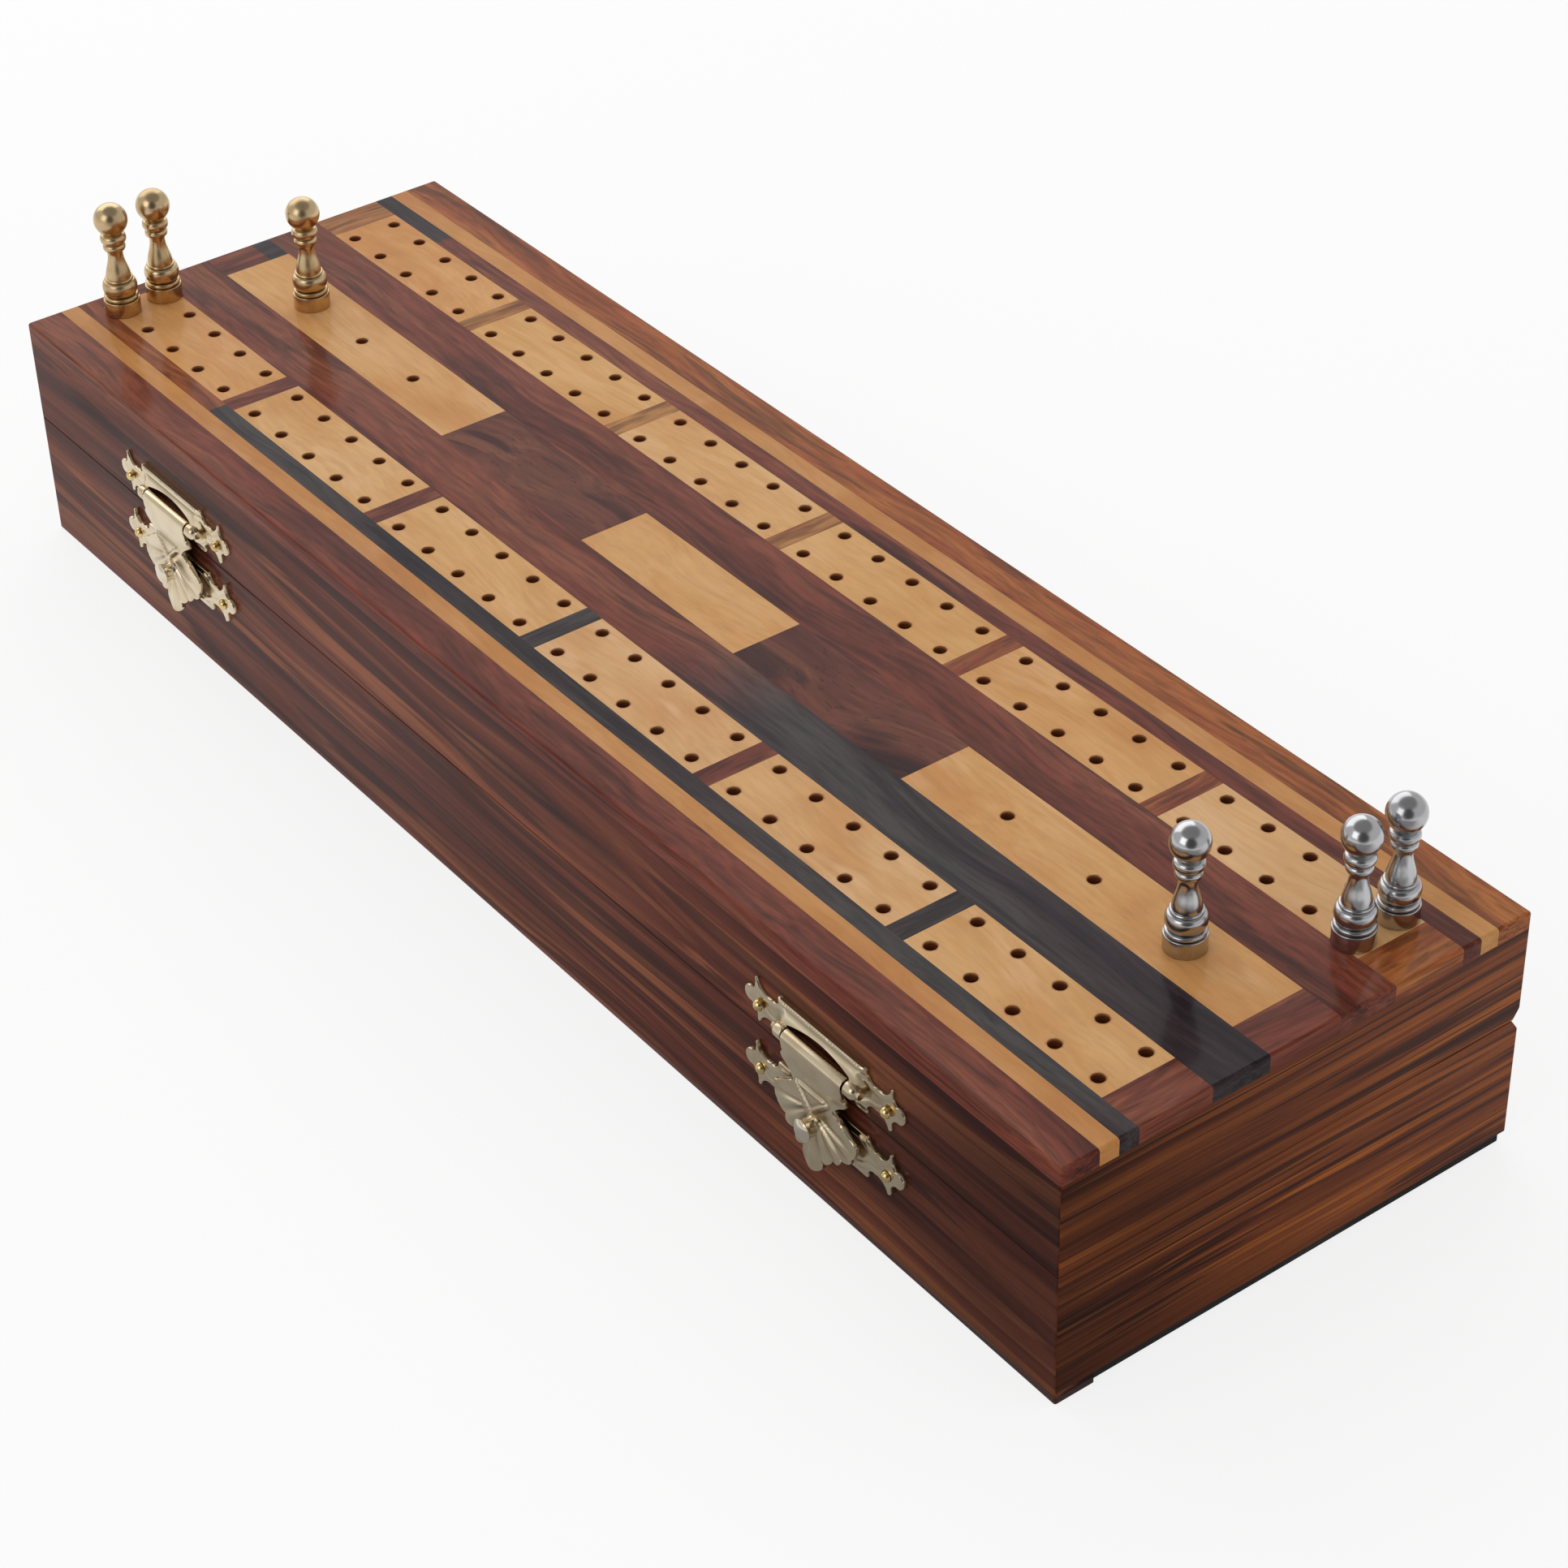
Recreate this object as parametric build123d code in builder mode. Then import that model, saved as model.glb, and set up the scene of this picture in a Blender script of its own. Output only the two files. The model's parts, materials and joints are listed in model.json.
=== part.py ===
from build123d import *
import math
import os

# Cribbage box with a hinged, inlaid lid, two swing catches and turned metal pegs.
# The origin is the middle of the box's underside. +X runs along the box, -Y is the
# front with the catches, +Z is up. All sizes are in millimetres.

# Box
box_length = 330.0
box_width = 100.0
box_height = 50.0
lid_height = 22.3
seam_gap = 0.2
wall_thickness = 8.0
corner_round = 0.5
top_round = 0.6
foot_round = 0.4
seam_ease = 0.2  # small bevel along the seam at the front and the ends
back_bevel_depth = 1.8  # the hinge groove along the back of the seam
back_bevel_height = 2.7
bottom_thickness = 2.6
bottom_inset = 0.9  # how far the bottom board stays back from the ends and the rear

# Inside of the base
divider_thickness = 4.0
divider_drop = 2.0  # top of the dividers below the rim
card_well_length = 93.0
dado_depth = 2.0
dado_clearance = 0.05
felt_thickness = 0.8
felt_margin = 0.4

# Inlaid top
inlay_thickness = 3.4
core_thickness = 6.0
centre_width = 15.0
long_strip_width = 12.0
track_width = 15.0
dark_strip_width = 4.0
light_strip_width = 3.9
track_tile_count = 6
separator_width = 4.7
front_track_lead = 4.4
back_track_lead = 8.3
track_tail = 8.8
centre_end_block = 8.8
centre_panel_length = 83.6
middle_panel_length = 48.2

# Peg holes
hole_diameter = 2.5
hole_depth = 8.0
hole_columns = 5
hole_inset = 3.8  # first and last column from a tile's ends
hole_row_pitch = 9.8
left_panel_hole_pitch = 19.5
right_panel_hole_pitch = 22.3

# Pegs
peg_hole_clearance = 0.1
peg_seat_gap = 0.05
peg_shank_length = 7.0
peg_foot_radius = 3.75
peg_foot_height = 3.2
peg_ring_height = 1.1
peg_bead_radius = 3.55
peg_bead_height = 3.2
peg_waist_radius = 1.6
peg_vase_height = 6.85
peg_collar_radius = 2.35
peg_collar_height = 1.7
peg_upper_collar_radius = 2.7
peg_upper_collar_height = 2.1
peg_ball_radius = 3.5
peg_neck_radius = 1.75  # where the ball meets the upper collar

# Hinges
hinge_length = 25.0
hinge_from_end = 70.0  # middle of each hinge, from the end of the box
hinge_sheet = 0.8
barrel_radius = 1.5
hinge_pin_radius = 0.8
running_clearance = 0.05
barrel_clearance = 0.3
knuckle_gap = 0.2
leaf_end_margin = 0.5  # wood left between a leaf and the inside of the wall
screw_spread = 15.0
screw_head_radius = 1.3
screw_shank_radius = 0.6
screw_length = 7.0

# Catches
catch_from_end = 58.5  # middle of each catch, from the end of the box
plate_sheet = 1.0
catch_leaf_sheet = 0.8
catch_pin_above_seam = 5.7
catch_pin_radius = 0.7
catch_roll_radius = 1.5
catch_roll_gap = 0.3  # between the leaf's roll and the wood or the plate beside it
catch_roll_width = 16.0
catch_body_width = 23.2
plate_rise = 5.4  # top of the lid plate above its nails
plate_drop = 4.3
plate_ridge = 0.7  # how far the plate's folded ridge stands above its sheet
plate_ridge_below = 1.6  # crest of the ridge below the plate's top edge
keeper_below_seam = 8.0  # nails of the keeper below the seam
keeper_body_width = 23.8
keeper_rise = 4.8
keeper_drop = 4.1
keeper_pad = 0.35  # the low pad under the leaf
wing_reach = 21.3
wing_arm_top = 3.0  # edges of the wing's narrow arm, from the nail line
wing_arm_bottom = 1.8
wing_horn_inset = 3.1  # horn tips, from the wing's end
wing_horn_rise = 5.0
wing_foot_drop = 3.9
nail_spread = 34.0
nail_head_radius = 1.1
nail_head_height = 0.9
nail_shank_radius = 0.5
nail_length = 5.5
nail_clearance = 0.05
catch_slot_height = 3.0  # arch above the leaf's roll, from the pin
leaf_shoulder_half = 8.3
leaf_neck_half = 5.3
leaf_fan_half = 11.0
leaf_tongue_half = 2.6
leaf_length = 22.9  # from the pin to the tip of the tongue
leaf_tongue_length = 3.7
leaf_crook_drop = 5.2  # bend in the leaf below the pin
leaf_crook_in = 0.8  # how far the bend and the tip lie back from the roll's front
leaf_tip_in = 0.3
leaf_neck_drop = 7.0
leaf_fan_drop = 11.0
leaf_fan_side = 3.4  # straight side of the fan below its widest point
leaf_lobes = 3  # scallops each side of the tongue
leaf_lobe_bulge = 0.8
leaf_flute_height = 0.3
leaf_flute_width = 0.9
knob_drop = 13.4  # knob below the pin
knob_stem_radius = 1.7
knob_head_radius = 2.2
knob_height = 3.4
knob_dome = 1.0
knob_rivet_radius = 0.9

# Worked-out places
half_length = box_length / 2
half_width = box_width / 2
lid_bottom = box_height - lid_height
base_height = lid_bottom - seam_gap
seam_z = base_height + seam_gap / 2
inner_half_length = half_length - wall_thickness
inner_half_width = half_width - wall_thickness
inlay_bottom = box_height - inlay_thickness
core_bottom = inlay_bottom - core_thickness
hinge_y = half_width - back_bevel_depth
hinge_x = half_length - hinge_from_end
catch_x = half_length - catch_from_end
catch_pin_z = seam_z + catch_pin_above_seam
catch_pin_out = catch_roll_radius + catch_roll_gap
keeper_z = seam_z - keeper_below_seam
long_strip_y = centre_width / 2
track_y = long_strip_y + long_strip_width
dark_strip_y = track_y + track_width
light_strip_y = dark_strip_y + dark_strip_width
border_y = light_strip_y + light_strip_width
track_middle = track_y + track_width / 2
hole_radius = hole_diameter / 2
sides = {"left": -1, "right": 1}
rows = {"front": -1, "back": 1}
track_lead = {"front": front_track_lead, "back": back_track_lead}

os.makedirs("parts", exist_ok=True)


def save(piece, name):
    piece.part.label = name
    export_step(piece.part, f"parts/{name}.step")


def front_plane(x, z):
    # On the front face of the box: local X along the box, local Y up, normal outwards.
    return Plane(origin=(x, -half_width, z), x_dir=(1, 0, 0), z_dir=(0, -1, 0))


def side_plane(x, z):
    # A section through a catch: local X is the distance out from the front, local Y up.
    return Plane(origin=(x, -half_width, z), x_dir=(0, -1, 0), z_dir=(-1, 0, 0))


def dome_middle(radius, height):
    # Radius and height of the point halfway along a spherical cap's profile.
    sphere = (radius**2 + height**2) / (2 * height)
    half_angle = math.asin(radius / sphere) / 2
    return sphere * math.sin(half_angle), height - sphere * (1 - math.cos(half_angle))


# ---- Shapes that several pieces are trimmed or drilled with ----

# The whole box's outside after its edges are rounded over.
with BuildPart() as rounded_box:
    Box(box_length, box_width, box_height, align=(Align.CENTER, Align.CENTER, Align.MIN))
    fillet(rounded_box.edges().filter_by(Axis.Z), corner_round)
    fillet(rounded_box.faces().sort_by(Axis.Z)[-1].edges(), top_round)
    fillet(rounded_box.faces().sort_by(Axis.Z)[0].edges(), foot_round)

# The V grooves around the seam: deep at the back, where the hinges sit, and slight elsewhere.
with BuildPart() as seam_groove:
    with BuildSketch(Plane.YZ.offset(-half_length)):
        with BuildLine():
            Polyline(
                (half_width - back_bevel_depth, seam_z),
                (half_width + back_bevel_depth, seam_z + 2 * back_bevel_height),
                (half_width + back_bevel_depth, seam_z - 2 * back_bevel_height),
                close=True,
            )
        make_face()
        with BuildLine():
            Polyline(
                (-half_width + seam_ease, seam_z),
                (-half_width - seam_ease, seam_z + 2 * seam_ease),
                (-half_width - seam_ease, seam_z - 2 * seam_ease),
                close=True,
            )
        make_face()
    extrude(amount=box_length)
    with BuildSketch(Plane.XZ.offset(-half_width)):
        for end in sides.values():
            with BuildLine():
                Polyline(
                    (end * (half_length - seam_ease), seam_z),
                    (end * (half_length + seam_ease), seam_z + 2 * seam_ease),
                    (end * (half_length + seam_ease), seam_z - 2 * seam_ease),
                    close=True,
                )
            make_face()
    extrude(amount=box_width)


def screw_shape(clearance):
    # A countersunk wood screw, its flat head at z = 0 and its point down.
    head = screw_head_radius + clearance
    shank = screw_shank_radius + clearance
    with BuildPart() as screw:
        with BuildSketch(Plane.XZ):
            with BuildLine():
                Polyline(
                    (0, 0),
                    (head, 0),
                    (shank, -hinge_sheet),
                    (shank, -screw_length + shank),
                    (0, -screw_length),
                    close=True,
                )
            make_face()
        revolve(axis=Axis.Z)
    return screw.part


def nail_shape(clearance, with_head):
    # A dome-headed escutcheon pin, head base at z = 0 and its point down.
    shank = nail_shank_radius + clearance
    dome = dome_middle(nail_head_radius, nail_head_height)
    with BuildPart() as nail:
        with BuildSketch(Plane.XZ):
            with BuildLine():
                Polyline((0, -nail_length), (shank, -nail_length + shank), (shank, 0))
                if with_head:
                    Line((shank, 0), (nail_head_radius, 0))
                    ThreePointArc((nail_head_radius, 0), dome, (0, nail_head_height))
                    Line((0, nail_head_height), (0, -nail_length))
                else:
                    Polyline((shank, 0), (0, 0), (0, -nail_length))
            make_face()
        revolve(axis=Axis.Z)
    return nail.part


screw = screw_shape(0)
screw_hole = screw_shape(nail_clearance)
nail = nail_shape(0, True)
nail_hole = nail_shape(nail_clearance, False)

leaf_start = hinge_y - barrel_radius - barrel_clearance
leaf_end = inner_half_width + leaf_end_margin
leaf_width = leaf_start - leaf_end
leaf_middle = (leaf_start + leaf_end) / 2
leaf_face = seam_gap / 2  # each leaf lies flush with its own rim


def screw_places(upward):
    # Screw heads of one row of hinge leaves, pointing down, or up for the lid.
    turn = (180, 0, 0) if upward else (0, 0, 0)
    z = seam_z + leaf_face if upward else seam_z - leaf_face
    return [
        Location((side * hinge_x + end * screw_spread / 2, leaf_middle, z), turn)
        for side in sides.values()
        for end in sides.values()
    ]


def nail_places(z):
    # Four nails of a row of plates; their heads sit on the face of the sheet.
    return [
        Location(
            (side * catch_x + end * nail_spread / 2, -half_width - plate_sheet, z), (90, 0, 0)
        )
        for side in sides.values()
        for end in sides.values()
    ]


# Recesses for the hinge leaves and barrels, and the pilot holes of screws and nails.
with BuildPart() as hardware_cuts:
    for side in sides.values():
        with Locations((side * hinge_x, leaf_middle, seam_z)):
            Box(
                hinge_length + 2 * knuckle_gap,
                leaf_width + 2 * barrel_clearance,
                seam_gap + 2 * hinge_sheet,
            )
        with Locations(Location((side * hinge_x, hinge_y, seam_z), (0, 90, 0))):
            Cylinder(barrel_radius + barrel_clearance, hinge_length + 2 * knuckle_gap)
    with Locations(*screw_places(False), *screw_places(True)):
        add(screw_hole)
    with Locations(*nail_places(catch_pin_z), *nail_places(keeper_z)):
        add(nail_hole)


# ---- Peg holes ----

def tile_length(row):
    gaps = (track_tile_count - 1) * separator_width
    return (box_length - track_lead[row] - track_tail - gaps) / track_tile_count


def tile_start(row, number):
    return -half_length + track_lead[row] + number * (tile_length(row) + separator_width)


def track_holes(row):
    pitch = (tile_length(row) - 2 * hole_inset) / (hole_columns - 1)
    return [
        (
            tile_start(row, number) + hole_inset + column * pitch,
            rows[row] * (track_middle + line * hole_row_pitch / 2),
        )
        for number in range(track_tile_count)
        for column in range(hole_columns)
        for line in (1, -1)
    ]


panel_middle = half_length - centre_end_block - centre_panel_length / 2
panel_hole_pitch = {"left": left_panel_hole_pitch, "right": right_panel_hole_pitch}


def panel_holes(side_name):
    middle = sides[side_name] * panel_middle
    return [(middle + step * panel_hole_pitch[side_name], 0) for step in (-1, 0, 1)]


all_holes = track_holes("front") + track_holes("back")
all_holes += panel_holes("left") + panel_holes("right")


# Blind holes, drilled after the top is glued up, so the first and last columns run
# through the tiles into the core board or the end walls.
with BuildPart() as peg_bores:
    with Locations(*[(x, y, box_height) for x, y in all_holes]):
        Cylinder(hole_radius, hole_depth, align=(Align.CENTER, Align.CENTER, Align.MAX))


# ---- Walls: four boards each for the base and the lid, mitred at the corners ----

def wall_outline(name):
    # Plan of a mitred wall board, as a closed list of corners.
    outer = [(-half_length, -half_width), (half_length, -half_width)]
    inner = [(inner_half_length, -inner_half_width), (-inner_half_length, -inner_half_width)]
    if name in ("left_end", "right_end"):
        outer = [(half_length, -half_width), (half_length, half_width)]
        inner = [(inner_half_length, inner_half_width), (inner_half_length, -inner_half_width)]
    turn = -1 if name in ("back_wall", "left_end") else 1
    return [(turn * x, turn * y) for x, y in outer + inner]


wall_names = ["front_wall", "back_wall", "left_end", "right_end"]
divider_middle = inner_half_length - card_well_length - divider_thickness / 2

for wall_name in wall_names:
    with BuildPart() as base_wall:
        with BuildSketch(Plane.XY.offset(bottom_thickness)):
            with BuildLine():
                Polyline(*wall_outline(wall_name), close=True)
            make_face()
        extrude(amount=base_height - bottom_thickness)
        if wall_name == "front_wall":
            # the front board runs down past the bottom board and hides its edge
            with Locations((0, -half_width + wall_thickness / 2, 0)):
                Box(
                    box_length,
                    wall_thickness,
                    bottom_thickness,
                    align=(Align.CENTER, Align.CENTER, Align.MIN),
                )
        if wall_name in ("front_wall", "back_wall"):
            with Locations(
                *[(side * divider_middle, 0, base_height) for side in sides.values()]
            ):
                Box(
                    divider_thickness + 2 * dado_clearance,
                    2 * (inner_half_width + dado_depth + dado_clearance),
                    base_height - bottom_thickness,
                    align=(Align.CENTER, Align.CENTER, Align.MAX),
                    mode=Mode.SUBTRACT,
                )
        add(rounded_box.part, mode=Mode.INTERSECT)
        add(seam_groove.part, mode=Mode.SUBTRACT)
        add(hardware_cuts.part, mode=Mode.SUBTRACT)
    save(base_wall, f"base_{wall_name}")

    with BuildPart() as lid_wall:
        with BuildSketch(Plane.XY.offset(lid_bottom)):
            with BuildLine():
                Polyline(*wall_outline(wall_name), close=True)
            make_face()
        extrude(amount=inlay_bottom - lid_bottom)
        add(rounded_box.part, mode=Mode.INTERSECT)
        add(seam_groove.part, mode=Mode.SUBTRACT)
        add(hardware_cuts.part, mode=Mode.SUBTRACT)
        add(peg_bores.part, mode=Mode.SUBTRACT)
    save(lid_wall, f"lid_{wall_name}")


# ---- Inside of the base ----

# The bottom board lies behind the front wall and under the other three.
with BuildPart() as bottom_board:
    bottom_depth = box_width - wall_thickness - bottom_inset
    with Locations((0, half_width - bottom_inset - bottom_depth / 2, 0)):
        Box(
            box_length - 2 * bottom_inset,
            bottom_depth,
            bottom_thickness,
            align=(Align.CENTER, Align.CENTER, Align.MIN),
        )
save(bottom_board, "bottom_board")

divider_height = base_height - divider_drop - bottom_thickness
for side_name, side in sides.items():
    with BuildPart() as divider:
        with Locations((side * divider_middle, 0, bottom_thickness)):
            Box(
                divider_thickness,
                2 * (inner_half_width + dado_depth),
                divider_height,
                align=(Align.CENTER, Align.CENTER, Align.MIN),
            )
        top_edges = divider.faces().sort_by(Axis.Z)[-1].edges().filter_by(Axis.Y)
        fillet(top_edges, divider_thickness / 4)
    save(divider, f"divider_{side_name}")

# Felt glued to the floor of each of the three wells.
well_middle = inner_half_length - card_well_length / 2
peg_well_length = 2 * (inner_half_length - card_well_length - divider_thickness)
felt_depth = 2 * (inner_half_width - felt_margin)
with BuildPart() as well_felts:
    for middle, length in (
        (-well_middle, card_well_length),
        (0, peg_well_length),
        (well_middle, card_well_length),
    ):
        with Locations((middle, 0, bottom_thickness)):
            Box(
                length - 2 * felt_margin,
                felt_depth,
                felt_thickness,
                align=(Align.CENTER, Align.CENTER, Align.MIN),
            )
save(well_felts, "well_felts")


# ---- Lid: core board, felt and the inlaid strips ----

with BuildPart() as lid_core_board:
    with Locations((0, 0, core_bottom)):
        Box(
            2 * inner_half_length,
            2 * inner_half_width,
            core_thickness,
            align=(Align.CENTER, Align.CENTER, Align.MIN),
        )
    add(peg_bores.part, mode=Mode.SUBTRACT)
save(lid_core_board, "lid_core_board")

with BuildPart() as lid_felt:
    with Locations((0, 0, core_bottom)):
        Box(
            2 * (inner_half_length - felt_margin),
            2 * (inner_half_width - felt_margin),
            felt_thickness,
            align=(Align.CENTER, Align.CENTER, Align.MAX),
        )
save(lid_felt, "lid_felt")


def inlay_piece(x_low, x_high, y_low, y_high):
    # One rectangular piece of the top; call it inside a BuildPart block.
    with Locations(((x_low + x_high) / 2, (y_low + y_high) / 2, inlay_bottom)):
        Box(
            x_high - x_low,
            y_high - y_low,
            inlay_thickness,
            align=(Align.CENTER, Align.CENTER, Align.MIN),
        )


strip_spans = {
    "long_strip": (long_strip_y, track_y),
    "dark_strip": (dark_strip_y, light_strip_y),
    "light_strip": (light_strip_y, border_y),
    "border": (border_y, half_width),
}

for strip_name, (near, far) in strip_spans.items():
    for row_name, row in rows.items():
        with BuildPart() as strip:
            inlay_piece(-half_length, half_length, *sorted((row * near, row * far)))
            add(rounded_box.part, mode=Mode.INTERSECT)
        save(strip, f"{strip_name}_{row_name}")

for row_name, row in rows.items():
    track_low, track_high = sorted((row * track_y, row * dark_strip_y))
    tile = tile_length(row_name)

    with BuildPart() as track_tiles:
        for number in range(track_tile_count):
            start = tile_start(row_name, number)
            inlay_piece(start, start + tile, track_low, track_high)
        add(peg_bores.part, mode=Mode.SUBTRACT)
    save(track_tiles, f"track_tiles_{row_name}")

    with BuildPart() as track_separators:
        for number in range(1, track_tile_count):
            start = tile_start(row_name, number)
            inlay_piece(start - separator_width, start, track_low, track_high)
    save(track_separators, f"track_separators_{row_name}")

    with BuildPart() as track_end_blocks:
        last_end = tile_start(row_name, track_tile_count - 1) + tile
        inlay_piece(-half_length, tile_start(row_name, 0), track_low, track_high)
        inlay_piece(last_end, half_length, track_low, track_high)
        add(rounded_box.part, mode=Mode.INTERSECT)
    save(track_end_blocks, f"track_end_blocks_{row_name}")

centre_half = centre_width / 2
panel_inner = half_length - centre_end_block - centre_panel_length
middle_half = middle_panel_length / 2

for side_name, side in sides.items():
    with BuildPart() as centre_panel:
        span = sorted((side * panel_inner, side * (half_length - centre_end_block)))
        inlay_piece(*span, -centre_half, centre_half)
        add(peg_bores.part, mode=Mode.SUBTRACT)
    save(centre_panel, f"centre_panel_{side_name}")

with BuildPart() as centre_panel_middle:
    inlay_piece(-middle_half, middle_half, -centre_half, centre_half)
save(centre_panel_middle, "centre_panel_middle")

with BuildPart() as centre_fillers:
    for side in sides.values():
        inlay_piece(*sorted((side * middle_half, side * panel_inner)), -centre_half, centre_half)
save(centre_fillers, "centre_fillers")

with BuildPart() as centre_end_blocks:
    for side in sides.values():
        span = sorted((side * (half_length - centre_end_block), side * half_length))
        inlay_piece(*span, -centre_half, centre_half)
    add(rounded_box.part, mode=Mode.INTERSECT)
save(centre_end_blocks, "centre_end_blocks")


# ---- Hinges: small brass butts let into the rims, their pins at the foot of the back groove ----

knuckle_length = (hinge_length - 2 * knuckle_gap) / 3
knuckle_step = knuckle_length + knuckle_gap


def hinge_leaf(x, up, knuckle_places):
    # A leaf with its knuckles. up is +1 for the lid's leaf and -1 for the base's leaf.
    leaf_z = seam_z + up * (leaf_face + hinge_sheet / 2)
    turn = (180, 0, 0) if up > 0 else (0, 0, 0)
    with BuildPart() as leaf:
        with Locations((x, leaf_middle, leaf_z)):
            Box(hinge_length, leaf_width, hinge_sheet)
        for place in knuckle_places:
            with Locations((x + place, (leaf_end + hinge_y) / 2, leaf_z)):
                Box(knuckle_length, hinge_y - leaf_end, hinge_sheet)
            with Locations(Location((x + place, hinge_y, seam_z), (0, 90, 0))):
                Cylinder(barrel_radius, knuckle_length)
        with Locations(Location((x, hinge_y, seam_z), (0, 90, 0))):
            Cylinder(
                hinge_pin_radius + running_clearance, hinge_length, mode=Mode.SUBTRACT
            )
        with Locations(
            *[
                Location((x + end * screw_spread / 2, leaf_middle, seam_z + up * leaf_face), turn)
                for end in sides.values()
            ]
        ):
            add(screw_hole, mode=Mode.SUBTRACT)
    return leaf


for side_name, side in sides.items():
    base_leaf = hinge_leaf(side * hinge_x, -1, [-knuckle_step, knuckle_step])
    save(base_leaf, f"hinge_base_leaf_{side_name}")
    lid_leaf = hinge_leaf(side * hinge_x, 1, [0])
    save(lid_leaf, f"hinge_lid_leaf_{side_name}")
    with BuildPart() as hinge_pin:
        with Locations(Location((side * hinge_x, hinge_y, seam_z), (0, 90, 0))):
            Cylinder(hinge_pin_radius, hinge_length)
        chamfer(hinge_pin.edges(), hinge_pin_radius / 4)
    save(hinge_pin, f"hinge_pin_{side_name}")

with BuildPart() as hinge_base_screws:
    with Locations(*screw_places(False)):
        add(screw)
save(hinge_base_screws, "hinge_base_screws")

with BuildPart() as hinge_lid_screws:
    with Locations(*screw_places(True)):
        add(screw)
save(hinge_lid_screws, "hinge_lid_screws")


# ---- Catches ----

def plate_outline(body_half, rise, drop):
    # A stamped plate: a plain body between two three-lobed wings, drawn about its nail line.
    horn = wing_reach - wing_horn_inset
    lobe = wing_horn_inset / 3
    arm_start = body_half + 0.8 * lobe
    with BuildSketch() as outline:
        with BuildLine():
            Line((0, rise), (body_half, rise))
            ThreePointArc(
                (body_half, rise),
                (body_half + 0.2 * lobe, wing_arm_top + 0.6),
                (arm_start, wing_arm_top),
            )
            ThreePointArc(
                (arm_start, wing_arm_top),
                (horn - 1.2 * lobe, wing_arm_top + 0.4),
                (horn, wing_horn_rise),
            )
            Line((horn, wing_horn_rise), (horn + 0.8 * lobe, wing_arm_top - 0.9))
            ThreePointArc(
                (horn + 0.8 * lobe, wing_arm_top - 0.9),
                (wing_reach, 0.8),
                (horn + 1.5 * lobe, -wing_arm_bottom / 2),
            )
            Line((horn + 1.5 * lobe, -wing_arm_bottom / 2), (horn, -wing_arm_bottom + 0.2))
            Line((horn, -wing_arm_bottom + 0.2), (horn - 1.3 * lobe, -wing_foot_drop))
            ThreePointArc(
                (horn - 1.3 * lobe, -wing_foot_drop),
                (horn - 2.8 * lobe, -wing_arm_bottom - 0.3),
                (arm_start, -wing_arm_bottom),
            )
            ThreePointArc(
                (arm_start, -wing_arm_bottom),
                (body_half + 0.1 * lobe, -wing_arm_bottom - 0.8),
                (body_half, -drop),
            )
            Line((body_half, -drop), (0, -drop))
            mirror(about=Plane.YZ)
        make_face()
    return outline.sketch


plate_sketch = plate_outline(catch_body_width / 2, plate_rise, plate_drop)
keeper_sketch = plate_outline(keeper_body_width / 2, keeper_rise, keeper_drop)
slot_half = catch_roll_width / 2 + catch_roll_gap
slot_shoulder = catch_roll_radius + catch_roll_gap  # foot of the slot's arch
catch_knuckle_length = catch_body_width / 2 - slot_half

# The leaf's front face, as distances out from the box: at the roll, the bend and the tip.
leaf_front = catch_pin_out + catch_roll_radius
crook_face = leaf_front - leaf_crook_in
tip_face = leaf_front - leaf_tip_in
fan_slope = math.atan((tip_face - crook_face) / (leaf_length - leaf_crook_drop))

# The knob is riveted through the leaf, its stem resting on the flutes.
knob_foot = crook_face + (knob_drop - leaf_crook_drop) * math.tan(fan_slope)
knob_seat = knob_foot + leaf_flute_height + knob_stem_radius * math.tan(fan_slope)
knob_head = knob_foot + knob_height
dome_radius, dome_height = dome_middle(knob_head_radius, knob_dome)


def leaf_outline():
    roll_half = catch_roll_width / 2
    shoulder = (leaf_shoulder_half, -leaf_crook_drop + 0.6)
    neck = (leaf_neck_half, -leaf_neck_drop)
    corner = Vector(leaf_fan_half - 1.0, -leaf_fan_drop - leaf_fan_side)
    tongue_root = Vector(leaf_tongue_half, -leaf_length + leaf_tongue_length)
    lobe = (tongue_root - corner) / leaf_lobes
    outward = Vector(-lobe.Y, lobe.X).normalized() * leaf_lobe_bulge
    with BuildSketch() as outline:
        with BuildLine():
            Polyline(
                (0, catch_roll_radius),
                (roll_half, catch_roll_radius),
                (roll_half, -catch_roll_radius),
                shoulder,
            )
            ThreePointArc(shoulder, (leaf_neck_half + 0.9, -leaf_crook_drop - 0.7), neck)
            Line(neck, (leaf_fan_half, -leaf_fan_drop))
            Line((leaf_fan_half, -leaf_fan_drop), corner)
            for number in range(leaf_lobes):
                start = corner + lobe * number
                ThreePointArc(start, start + lobe / 2 + outward, start + lobe)
            Line(tongue_root, (leaf_tongue_half, -leaf_length + leaf_tongue_half))
            RadiusArc(
                (leaf_tongue_half, -leaf_length + leaf_tongue_half),
                (0, -leaf_length),
                leaf_tongue_half,
            )
            mirror(about=Plane.YZ)
        make_face()
    return outline.sketch


def fan_plane(x):
    # Lies on the slanted front face of the leaf; local Y is up, zero at the bend.
    return Plane(
        origin=(x, -half_width - crook_face, catch_pin_z - leaf_crook_drop),
        x_dir=(1, 0, 0),
        z_dir=(0, -math.cos(fan_slope), math.sin(fan_slope)),
    )


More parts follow.
